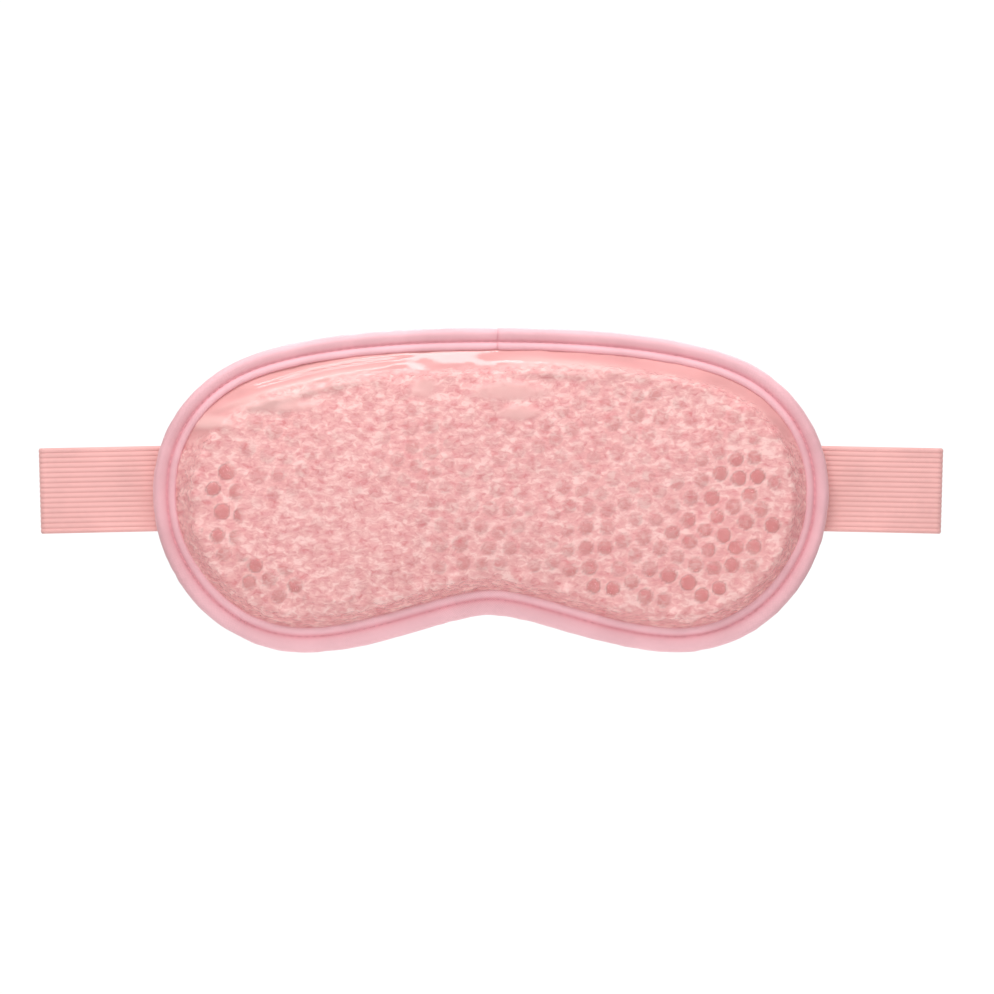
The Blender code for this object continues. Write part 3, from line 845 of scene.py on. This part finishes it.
def tape_material(colours):
    """Soft satin tape of the binding, with painted shade in its stitched groove, along its inner lip, at its
    joint and towards the mask's two ends.
    """
    tape = woven_cloth("satin_binding_tape", colours.tape, 0.5, 0.35, (1500.0, 1500.0), 0.00008)
    # Painted shade in the stitched groove, along the inner lip and at the joint.
    tape.darken((0.90, 0.66, 0.70), "pressed")
    # Painted shade that darkens the tape towards the mask's two ends.
    tape.darken((0.84, 0.80, 0.80), "gathered")
    return tape.owner


def elastic_material(colours):
    """Ribbed elastic with fine cross threads, with painted shade in its grooves."""
    elastic = woven_cloth("ribbed_elastic", colours.elastic, 0.75, 0.25, (1300.0, 1180.0), 0.00012)
    # Painted shade in the grooves between the ribs.
    elastic.darken((0.92, 0.84, 0.84), "pressed")
    return elastic.owner


def thread_material(colours):
    """Twisted polyester thread."""
    thread = Cloth("sewing_thread", colours.thread, 0.55, 0.2)
    twist = thread.noise(thread.coordinates(), 2500.0, 1.0)
    thread.tint(twist, colours.thread, (0.3, 0.8), (0.7, 1.15))
    return thread.owner


def hook_material(colours):
    """Woven nylon hook tape, a little glossy."""
    tape = Cloth("nylon_hook_tape", shaded(colours.plush, 0.95), 0.4, 0.1)
    weave = tape.noise(tape.coordinates(), 1200.0, 2.0)
    tape.tint(weave, colours.plush, (0.3, 0.84), (0.7, 1.02))
    return tape.owner


# ------------------------------------------------------------------------------------------------ pieces


class STAGE_OT_studio(bpy.types.Operator):
    """Make the floor, the soft lights, the white surroundings and the camera."""

    bl_idname = "eyemask.studio"
    bl_label = "Studio"

    def execute(self, context):
        scene = context.scene
        scene.view_settings.view_transform = "Standard"
        scene.cycles.transparent_max_bounces = 32
        scene.cycles.max_bounces = 16
        scene.cycles.transmission_bounces = 14
        bpy.ops.mesh.primitive_circle_add(
            vertices=96, radius=0.55, fill_type="NGON", location=(0.0, 0.1, -0.32)
        )
        floor = context.active_object
        floor.name = "pale_floor"
        settle(floor)
        floor.data.materials.append(Cloth("pale_floor", (0.92, 0.91, 0.91), 0.8, 0.0).owner)
        self.surroundings(scene)
        self.softbox("key_softbox", (-0.25, -0.90, 0.80), (0.55, 0.30), 4.2)
        self.softbox("top_softbox", (0.00, -0.35, 1.00), (1.20, 0.25), 8.2)
        self.softbox("side_softbox", (-0.95, -0.90, 0.10), (0.40, 0.40), 0.2)
        self.softbox("low_softbox", (0.00, -0.95, -0.27), (1.20, 0.08), 1.9)
        self.softbox("back_softbox", (0.20, 1.20, 0.90), (1.00, 0.80), 12.0)
        self.camera(scene)
        return {"FINISHED"}

    def surroundings(self, scene):
        """White surroundings: bright behind the object, softer as light on it."""
        scene.world = bpy.data.worlds.new("white_studio")
        white = Finish(scene.world, "OutputWorld")
        light = white.add("Background", Color=(1.0, 0.995, 0.99), Strength=0.42)
        seen = white.add("Background", Color=(1.0, 1.0, 1.0), Strength=1.05)
        white.end(white.mixed(white.add("LightPath").outputs["Is Camera Ray"], light, seen))

    def softbox(self, name, place, size, power):
        """A rectangular soft light that faces the mask."""
        bpy.ops.object.light_add(type="AREA", location=place)
        lamp = bpy.context.active_object
        lamp.name = name
        lamp.data.shape = "RECTANGLE"
        lamp.data.size, lamp.data.size_y = size
        lamp.data.energy = power
        lamp.rotation_mode = "QUATERNION"
        lamp.rotation_quaternion = (-Vector(place)).to_track_quat("-Z", "Y")

    def camera(self, scene):
        """A long lens straight in front of the mask."""
        distance, view, sensor = 1.3, 0.2943, 36.0
        bpy.ops.object.camera_add(location=(0.0018, -distance, -0.0022), rotation=(math.pi / 2, 0.0, 0.0))
        camera = bpy.context.active_object
        camera.data.sensor_width = sensor
        camera.data.lens = sensor * (distance - 0.004) / view
        camera.data.clip_start, camera.data.clip_end = 0.05, 20.0
        scene.camera = camera


class PIECE_OT_pouch(bpy.types.Operator):
    """Make the pouch: the front film draped over the gel beads, and the rear film's finish."""

    bl_idname = "eyemask.pouch"
    bl_label = "Film pouch and gel beads"

    def execute(self, context):
        scene = context.scene
        pouch = pouch_grid()
        centre, radius = settle_beads(pouch, scene.eyemask_sizes)
        fronts = bead_fronts(pouch, centre, radius)
        height = film_heights(pouch, fronts)
        self.front_film(pouch, height, fronts, scene.eyemask_colours)
        self.beads(pouch, height, centre, radius, scene.eyemask_colours)
        rear = frame["nodes"]["rear_film"]
        rear.data.materials.clear()
        rear.data.materials.append(rear_film_material(scene.eyemask_colours))
        return {"FINISHED"}

    def front_film(self, pouch, taut, fronts, colours):
        """The clear film, painted with where beads touch it, where they crowd it, and where its folds, air
        pockets and wet bead rims take painted highlights.
        """
        wrinkles = film_wrinkles(pouch)
        height = taut + wrinkles * (pouch.beyond_rim > 0.0)
        rows, columns, x, z, faces = sheet_grid(pouch, FILM_INSET)
        y = REAR_FILM_FRONT - height[rows, columns]
        film = mesh_piece("front_film_sheet", np.column_stack([x, y, z]), faces)
        near = smoothstep(-0.45 * MM, 0.15 * MM, fronts - height)
        pressed = blur(np.where(fronts > 0.0, near, 0.0), 0.45 * MM)
        wet = wet_zones(pouch) * smoothstep(1.5 * MM, 4.5 * MM, pouch.bead_in)
        lifted = air_pockets(pouch)
        touch = smoothstep(0.3, 0.85, pressed) * wet * (1.0 - 0.9 * lifted)
        # A painted highlight rim round each wet bead, passed on through the fold value.
        ring = 4.0 * pressed * (1.0 - pressed) * wet
        crowd = smoothstep(0.1, 0.7, blur(np.where(fronts > 0.0, 1.0, 0.0), 1.6 * MM))
        crowd = np.maximum(crowd, 0.85 * (1.0 - clear_band(pouch))) * (1.0 - 0.9 * lifted)
        # fold is the creases, the air pockets and the bead rims, where the film's material paints highlights.
        fold = np.clip(wrinkles / (1.7 * MM) + 0.4 * lifted + 0.6 * ring, 0.0, 0.75)
        paint(film, touch=touch[rows, columns], crowd=crowd[rows, columns], fold=fold[rows, columns])
        wall = film.modifiers.new("thickness", "SOLIDIFY")
        wall.thickness = FILM_WALL
        wall.offset = -1.0
        apply_modifiers(film)
        film.data.shade_smooth()
        give(film, film_material(colours), "mask", ["front_film"])

    def beads(self, pouch, height, centre, radius, colours):
        """Gel balls, squashed flat where they meet the films."""
        ball, ball_faces = plain_ball(12, 8, 1.0, axis=0)
        balls = []
        for middle, r in zip(centre, radius):
            spot = middle + 0.985 * r * ball
            ceiling = pouch.sample(height, spot[:, 0], spot[:, 2]) - FILM_CLEARANCE
            spot[:, 1] = np.clip(spot[:, 1], 0.12 * MM, np.maximum(ceiling, 0.5 * MM))
            balls.append(spot)
        points, faces = copies(balls, ball_faces)
        points[:, 1] = REAR_FILM_FRONT - points[:, 1]
        fill = mesh_piece("gel_bead_fill", points, faces)
        outwards(fill)
        fill.data.shade_smooth()
        give(fill, gel_material(colours), "mask", ["gel_beads"])


class PIECE_OT_back(bpy.types.Operator):
    """Make the plush panel that lies on the face."""

    bl_idname = "eyemask.back"
    bl_label = "Plush back"

    def execute(self, context):
        pouch = pouch_grid()
        rows, columns, x, z, faces = sheet_grid(pouch, FILM_INSET)
        rng = np.random.default_rng(SEED + 1)
        tufts, waves = (pouch.mottle(rng, radius) for radius in (PILE_TUFT, PILE_WAVE))
        tufts /= np.abs(tufts).max()
        waves /= np.abs(waves).max()
        inner = smoothstep(RIM_WIDTH, RIM_WIDTH + 5.0 * MM, pouch.inside)
        rise = inner * (0.35 * MM * tufts + 0.5 * MM * waves + 0.5 * MM)
        count = len(x)
        front = np.column_stack([x, np.full(count, PANEL_FRONT), z])
        back = np.column_stack([x, PANEL_BACK - 0.2 * MM + rise[rows, columns], z])
        edges = dict.fromkeys((a, b) for face in faces for a, b in zip(face, np.roll(face, -1)))
        walls = [(b, a, a + count, b + count) for a, b in edges if (b, a) not in edges]
        all_faces = [tuple(f) for f in faces] + [tuple(f[::-1] + count) for f in faces] + walls
        panel = mesh_piece("plush_back_panel", np.vstack([front, back]), all_faces)
        outwards(panel)
        panel.data.shade_smooth()
        give(panel, plush_material(context.scene.eyemask_colours), "mask", ["backing_panel"])
        return {"FINISHED"}


class PIECE_OT_binding(bpy.types.Operator):
    """Make the folded tape round the edge and its two rows of stitches."""

    bl_idname = "eyemask.binding"
    bl_label = "Edge binding"

    def execute(self, context):
        settings = context.scene.eyemask_sizes
        colours = context.scene.eyemask_colours
        thread = thread_material(colours)
        self.tape(settings.stitch_pitch, colours)
        front = stitch_row("binding_front_stitches", settings.stitch_pitch, -3.5 * MM, thread)
        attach(front, "mask")
        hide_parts("binding_needle_thread")
        rear = stitch_row("binding_rear_stitches", settings.stitch_pitch, 1.14 * MM, thread)
        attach(rear, "mask")
        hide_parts("binding_bobbin_thread")
        return {"FINISHED"}

    def tape(self, pitch, colours):
        """A loft of the folded section round the edge, puckered by its stitches, open at its joint."""
        rng = np.random.default_rng(SEED + 2)
        count = TAPE_RINGS
        ring, inward, length = edge_ring(count, TAPE_JOINT_X)
        section = np.array(TAPE_OUTER + TAPE_UNDER) * MM
        size = len(section)
        is_outer = (np.arange(size) < len(TAPE_OUTER)) * 1.0
        place = np.arange(count) * length / count
        slow, quick = (
            np.interp(place, np.linspace(0, length, knots), rng.standard_normal(knots)) for knots in (41, 241)
        )
        pull = 0.5 + 0.5 * np.cos(2.0 * math.pi * place / pitch)
        side = unit_rows(section - np.array(TAPE_MIDDLE) * MM)
        from_stitch = section[:, 0] - STITCH_INSET
        near_stitch = bell(from_stitch, 1.3 * MM)
        from_joint = np.minimum(place, length - place)
        rows = []
        for k in range(count):
            swell = 0.05 * slow[k] + 0.045 * quick[k] + 0.10 * (pull[k] - 0.5) * near_stitch
            joint = 0.40 * math.exp(-from_joint[k] / (0.8 * MM))
            bent = section + side * ((swell - joint) * MM * is_outer)[:, None]
            spots = ring[k] + bent[:, :1] * inward[k] * tape_share(ring[k, 1])
            rows.append(np.column_stack([spots[:, 0], bent[:, 1], spots[:, 1]]))
        rows[0][:, 0] += TAPE_JOINT_GAP
        rows[-1] = rows[0] - np.array([2.0 * TAPE_JOINT_GAP, 0.0, 0.0])
        points = np.vstack(rows)
        ends = [tuple(range(size)), tuple(range((count - 1) * size, count * size))[::-1]]
        tape = mesh_piece("edge_binding_tape", points, tube_faces(count, size) + ends)
        paint_uv(tape, np.column_stack([np.repeat(place, size), np.tile(arc_lengths(section), count)]))
        # Where the tape gets painted shade: its stitched groove, its inner lip against the film, and its
        # joint.
        groove = bell(from_stitch, 0.62 * MM) * is_outer
        lip = 0.55 * smoothstep(6.5 * MM, 6.8 * MM, section[:, 0])
        seam = np.exp(-from_joint / (0.5 * MM))
        pressed = np.maximum(np.tile(np.maximum(groove, lip), count), 0.9 * np.repeat(seam, size))
        # The tape gets painted shade towards the mask's two ends, beyond 76 mm from the middle.
        paint(tape, pressed=pressed, gathered=smoothstep(76.0 * MM, 98.0 * MM, np.abs(points[:, 0])))
        outwards(tape)
        smooth(tape, 50.0)
        give(tape, tape_material(colours), "mask", ["edge_binding"])


def sew(name, places, material, length, thickness):
    """Stitches laid at (place, direction, outward) triples, as one piece: slim pills with pinched ends."""
    pill, pill_faces = plain_ball(8, 6, 0.5, axis=1)
    pill[:, 1:] *= (1.0 + 0.35 * (1.0 - 4.0 * pill[:, :1] ** 2)) * 0.8
    shaped = pill * np.array([length, thickness, 0.8 * thickness])
    shaped[:, 2] -= 0.25 * thickness * (2.0 * pill[:, 0]) ** 2
    stitches = []
    for place, direction, outward in places:
        direction, outward = Vector(direction).normalized(), Vector(outward).normalized()
        turn = np.column_stack([direction, direction.cross(outward), outward])
        stitches.append(shaped @ turn.T + np.array(place))
    row = mesh_piece(name, *copies(stitches, pill_faces))
    outwards(row)
    row.data.shade_smooth()
    row.data.materials.append(material)
    return row


def stitch_row(name, pitch, y, material):
    """A row of stitches all round the mask in the binding's groove."""
    count = int(round(edge_ring(8)[2] / pitch))
    ring, inward, _ = edge_ring(count, 0.5 * pitch)
    line = ring + STITCH_INSET * inward * tape_share(ring[:, 1])[:, None]
    ahead = np.roll(line, -1, axis=0) - np.roll(line, 1, axis=0)
    outward = (0.0, math.copysign(1.0, y), 0.0)
    places = [((p[0], y, p[1]), (a[0], 0.0, a[1]), outward) for p, a in zip(line, ahead)]
    return sew(name, places, material, STITCH_SHARE * pitch, THREAD)


class PIECE_OT_strap(bpy.types.Operator):
    """Make the two elastics, from their sewn ends behind the mask round their folds to the closure."""

    bl_idname = "eyemask.strap"
    bl_label = "Elastic strap"

    def execute(self, context):
        self.settings = context.scene.eyemask_strap
        self.material = elastic_material(context.scene.eyemask_colours)
        for side, word in ((-1.0, "left"), (1.0, "right")):
            self.sewn_end(side, word)
            self.fold(side, word)
        self.right_back()
        self.left_back()
        self.tab()
        return {"FINISHED"}

    def strip(self, name, path, start_length=0.0):
        """A ribbed elastic strip that follows a path of (X, Y) points; its width runs up and down."""
        path, settings = np.array(path), self.settings
        half = 0.5 * ELASTIC_WIDTH
        thickness = 0.5 * (FRONT_HIGH.y - FRONT_LOW.y)
        across = np.linspace(-half, half, settings.rib_count * POINTS_PER_RIB + 1)
        phase = (across + half) / ELASTIC_WIDTH * settings.rib_count
        groove = 1.0 - np.abs(np.sin(math.pi * phase)) ** 0.55
        edge = smoothstep(half, half - 0.5 * MM, np.abs(across))
        level = (thickness - settings.rib_height * groove) * (0.55 + 0.45 * edge)
        width = np.concatenate([across, across[::-1]])
        depth = np.concatenate([level, -level[::-1]])
        ahead = unit_rows(np.gradient(path, axis=0))
        size, count = len(width), len(path)
        points = []
        for spot, normal in zip(path, np.column_stack([-ahead[:, 1], ahead[:, 0]])):
            flat = spot + depth[:, None] * normal
            folded = smoothstep(FOLD_SLANT_FROM, FOLD_X, np.abs(flat[:, 0]))
            slant = ELASTIC_SLANT * width * np.sign(flat[:, 0]) * folded
            drop = droop(flat[:, 0], settings.sag)
            points.append(np.column_stack([flat[:, 0] + slant, flat[:, 1], width + drop]))
        faces = tube_faces(count, size)
        for base, turn in ((0, 1), ((count - 1) * size, -1)):
            for i in range(len(across) - 1):
                quad = (base + i, base + i + 1, base + size - 2 - i, base + size - 1 - i)
                faces.append(quad[::turn])
        strip = mesh_piece(name, np.vstack(points), faces)
        steps = arc_lengths(path) + start_length
        paint_uv(strip, np.column_stack([np.repeat(steps, size), np.tile(width, count)]))
        # The grooves between the ribs get painted shade in the elastic's material.
        paint(strip, pressed=np.tile(np.concatenate([groove, groove[::-1]]), count))
        outwards(strip)
        smooth(strip, 40.0)
        strip.data.materials.append(self.material)
        return strip

    def sewn_end(self, side, word):
        """From the sewn-down end behind the binding out past the mask's edge."""
        y, hinge = ANCHOR_Y, SEAM_X
        inner, outer = ANCHOR_LOW.x, REACH - EDGE_TUCK
        path = straight((side * inner, y), (side * outer, y), 0.8 * MM)
        piece = self.strip(word + "_elastic_sewn_end", path)
        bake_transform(piece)
        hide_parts(word + "_strap_anchor")

    def fold(self, side, word):
        """From the mask's edge out to the fold, round it and a little way back."""
        turn_x, turn_y = HINGES["right_fold"][0], HINGES["right_fold"][1]
        radius = 0.5 * (END_Y - FRONT_Y)
        inner = REACH - EDGE_TUCK
        path = straight((inner, FRONT_Y), (turn_x, FRONT_Y))[:-1]
        for angle in np.radians(np.linspace(-90.0, 90.0, 17)):
            path.append((turn_x + radius * math.cos(angle), turn_y + radius * math.sin(angle)))
        path += straight((turn_x, END_Y), (turn_x - FOLD_RETURN, END_Y))[1:]
        piece = self.strip(word + "_elastic_fold", [(side * x, y) for x, y in path], inner)
        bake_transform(piece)
        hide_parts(word + "_strap_front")

    def right_back(self):
        """The right elastic from behind its fold to its end under the closure."""
        y, hinge = END_Y, HINGES["right_end_turn"][0]
        start = HINGES["right_fold"][0] - FOLD_RETURN
        piece = self.strip("right_elastic_back", straight((start, y), (END_LOW.x, y)), start)
        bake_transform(piece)
        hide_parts("right_strap_back", "right_strap_end")

    def left_back(self):
        """The left elastic from behind its fold, up the step over the right one, to the hook tab."""
        y, hinge = END_Y, HINGES["left_end_turn"][0]
        start = HINGES["left_fold"][0] + FOLD_RETURN
        foot, head = hinge + 1.6 * MM, hinge + 10.8 * MM
        path = straight((start, y), (foot, y))
        for t in np.linspace(0.0, 1.0, 15)[1:]:
            rise = t * t * (3.0 - 2.0 * t)
            path.append((foot + t * (head - foot), y + rise * (TAB_Y - y)))
        join = HINGES["hook_tab_peel"][0] - TAB_LEAD
        path += straight((head, TAB_Y), (join, TAB_Y), 0.8 * MM)[1:]
        piece = self.strip("left_elastic_back", path, start)
        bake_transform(piece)
        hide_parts("left_strap_back", "left_strap_end")

    def tab(self):
        """The left elastic's end tab, which carries the hooks and peels off."""
        y, start = TAB_Y, HINGES["hook_tab_peel"][0] - TAB_LEAD
        path = straight((start, y), (TAB_HIGH.x, y), 1.0 * MM)
        piece = self.strip("left_elastic_tab", path, start)
        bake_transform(piece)
        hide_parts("hook_tab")


class PIECE_OT_closure(bpy.types.Operator):
    """Make the hook tape, the loop tape and the stitches that hold them and the elastic's ends."""

    bl_idname = "eyemask.closure"
    bl_label = "Hook and loop closure"

    def execute(self, context):
        colours = context.scene.eyemask_colours
        thread = thread_material(colours)
        self.hook_tape(colours)
        self.loop_tape(colours)
        self.patch_stitches("hook_patch_stitches", "hook_patch_stitch", "hook_tab", TAB_HIGH.y, 1.0, thread)
        self.patch_stitches(
            "loop_patch_stitches", "loop_patch_stitch", "right_strap_end", END_LOW.y, -1.0, thread
        )
        for side, word in ((-1.0, "left"), (1.0, "right")):
            self.bar_tack(side, word, thread)
        return {"FINISHED"}

    def hook_tape(self, colours):
        """A woven base with rows of small hooks that face the loops."""
        base = rounded_slab("hook_tape", HOOK_LOW, HOOK_HIGH, TAPE_BASE, 1.0)
        give(base, hook_material(colours), "hook_tab", ["hook_patch"])
        size = HOOK_HIGH - HOOK_LOW
        places = []
        for i in range(int(size.x / HOOK_PITCH[0])):
            for j in range(int(size.z / HOOK_PITCH[1])):
                x = HOOK_LOW.x + (i + 0.5 + 0.25 * (j % 2)) * HOOK_PITCH[0]
                z = HOOK_LOW.z + (j + 0.5) * HOOK_PITCH[1]
                places.append((x, z, 0.0 if (i + j) % 2 else math.pi))
        top = HOOK_HIGH.y - TAPE_BASE * size.y
        hooks = bristles("hook_rows", HOOK_PATH, HOOK_THICKNESS, places, top, -1.0)
        give(hooks, hook_material(colours), "hook_tab")

    def loop_tape(self, colours):
        """A brushed base with a soft pile of loops that face the hooks."""
        base = rounded_slab("loop_tape", LOOP_LOW, LOOP_HIGH, TAPE_BASE, 0.0)
        give(base, plush_material(colours), "right_strap_end", ["loop_patch"])
        size = LOOP_HIGH - LOOP_LOW
        rng = np.random.default_rng(SEED + 3)
        x = LOOP_LOW.x + LOOP_MARGIN + rng.random(LOOP_COUNT) * (size.x - 2.0 * LOOP_MARGIN)
        z = LOOP_LOW.z + LOOP_MARGIN + rng.random(LOOP_COUNT) * (size.z - 2.0 * LOOP_MARGIN)
        places = list(zip(x, z, rng.random(LOOP_COUNT) * math.tau))
        top = LOOP_LOW.y + TAPE_BASE * size.y
        loops = bristles("loop_pile", LOOP_PATH, LOOP_THICKNESS, places, top, 1.0)
        give(loops, plush_material(colours), "right_strap_end")

    def patch_stitches(self, name, node, body, y, outward, thread):
        """A stitched rectangle, half sunk into the elastic."""
        low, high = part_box(node)
        left, right = low.x + PATCH_STITCH_INSET, high.x - PATCH_STITCH_INSET
        half = 0.5 * (high.z - low.z) - PATCH_STITCH_INSET
        depth = y - outward * 0.05 * MM
        corners = [(left, -half), (right, -half), (right, half), (left, half)]
        places = []
        for (x0, z0), (x1, z1) in zip(corners, corners[1:] + corners[:1]):
            count = max(2, int(round(math.hypot(x1 - x0, z1 - z0) / PATCH_STITCH_PITCH)))
            for k in range(count):
                t = (k + 0.5) / count
                place = (x0 + t * (x1 - x0), depth, z0 + t * (z1 - z0))
                places.append((place, (x1 - x0, 0.0, z1 - z0), (0.0, outward, 0.0)))
        row = sew(name, places, thread, PATCH_STITCH_LENGTH, THREAD)
        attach(row, body)
        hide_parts(node)

    def bar_tack(self, side, word, thread):
        """A dense zigzag bar across the elastic's sewn end."""
        x = side * 0.5 * (TACK_LOW.x + TACK_HIGH.x)
        half = 0.5 * (TACK_HIGH.z - TACK_LOW.z)
        places = []
        for k in range(TACK_COUNT):
            z = -half + 2.0 * half * (k + 0.5) / TACK_COUNT + 0.5 * (TACK_LOW.z + TACK_HIGH.z)
            slant = TACK_SLANT if k % 2 else -TACK_SLANT
            places.append(((x, ANCHOR_HIGH.y - 0.02 * MM, z), (1.0, 0.0, slant), (0.0, 1.0, 0.0)))
        row = sew(word + "_bar_tack", places, thread, TACK_LENGTH, TACK_THREAD)
        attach(row, "mask")
        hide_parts(word + "_anchor_stitch")


def rounded_slab(name, low, high, share, side):
    """A thin slab with rounded edges that fills a share of a box's depth, at its front (0) or back (1)."""
    size = high - low
    centre = (low + high) / 2
    centre.y = low.y + size.y * (0.5 * share + side * (1.0 - share))
    bpy.ops.object.select_all(action="DESELECT")
    bpy.ops.mesh.primitive_cube_add(size=1.0, location=centre)
    slab = bpy.context.active_object
    slab.name = name
    slab.scale = (size.x, size.y * share, size.z)
    settle(slab)
    corners = slab.modifiers.new("corners", "BEVEL")
    corners.width = 0.2 * MM
    corners.segments = 3
    apply_modifiers(slab)
    smooth(slab)
    return slab


def bristles(name, path, thickness, places, base, side):
    """Many short bent fibres on a plane: path is (along, up) in millimetres, places are (X, Z, turn)."""
    path, half = np.array(path) * MM, 0.5 * thickness
    ahead = unit_rows(np.gradient(path, axis=0))
    fibre = []
    for point, across in zip(path, np.column_stack([-ahead[:, 1], ahead[:, 0]])):
        for a, b in ((1, 0), (0, 1), (-1, 0), (0, -1)):
            fibre.append((*(point + a * half * across), b * half))
    along, up, out = np.array(fibre).T
    rings = len(path)
    own_faces = [(0, 1, 2, 3), tuple(4 * (rings - 1) + i for i in (3, 2, 1, 0))]
    own_faces += [(a, d, c, b) for a, b, c, d in tube_faces(rings, 4)]
    fibres = []
    for x, z, turn in places:
        c, s = math.cos(turn), math.sin(turn)
        fibres.append(np.column_stack([x + c * along - s * out, base + side * up, z + s * along + c * out]))
    piece = mesh_piece(name, *copies(fibres, own_faces))
    outwards(piece)
    piece.data.shade_smooth()
    return piece


# ------------------------------------------------------------------------------------------------ panel


class VIEW3D_PT_eyemask(bpy.types.Panel):
    """Sidebar panel that lists the mask's pieces and their settings."""

    bl_label = "Gel bead eye mask"
    bl_space_type = "VIEW_3D"
    bl_region_type = "UI"
    bl_category = "Eye Mask"

    def draw(self, context):
        layout = self.layout
        for group in ("eyemask_sizes", "eyemask_strap", "eyemask_colours"):
            settings = getattr(context.scene, group)
            box = layout.box()
            for key in settings.__annotations__:
                box.prop(settings, key)
        for operator in ORDER:
            layout.operator(operator.bl_idname)


ORDER = (STAGE_OT_studio, PIECE_OT_pouch, PIECE_OT_back, PIECE_OT_binding, PIECE_OT_strap, PIECE_OT_closure)
CLASSES = (MaskSizes, StrapSizes, MaskColours, *ORDER, VIEW3D_PT_eyemask)


def register():
    """Register the classes and the scene's settings."""
    for entry in CLASSES:
        bpy.utils.register_class(entry)
    bpy.types.Scene.eyemask_sizes = PointerProperty(type=MaskSizes)
    bpy.types.Scene.eyemask_strap = PointerProperty(type=StrapSizes)
    bpy.types.Scene.eyemask_colours = PointerProperty(type=MaskColours)


def unregister():
    """Remove the scene's settings and the classes."""
    del bpy.types.Scene.eyemask_sizes
    del bpy.types.Scene.eyemask_strap
    del bpy.types.Scene.eyemask_colours
    for entry in reversed(CLASSES):
        bpy.utils.unregister_class(entry)


def main():
    """Build every piece in order."""
    register()
    bpy.ops.eyemask.studio()
    bpy.ops.eyemask.pouch()
    bpy.ops.eyemask.back()
    bpy.ops.eyemask.binding()
    bpy.ops.eyemask.strap()
    bpy.ops.eyemask.closure()


if __name__ == "__main__":
    main()
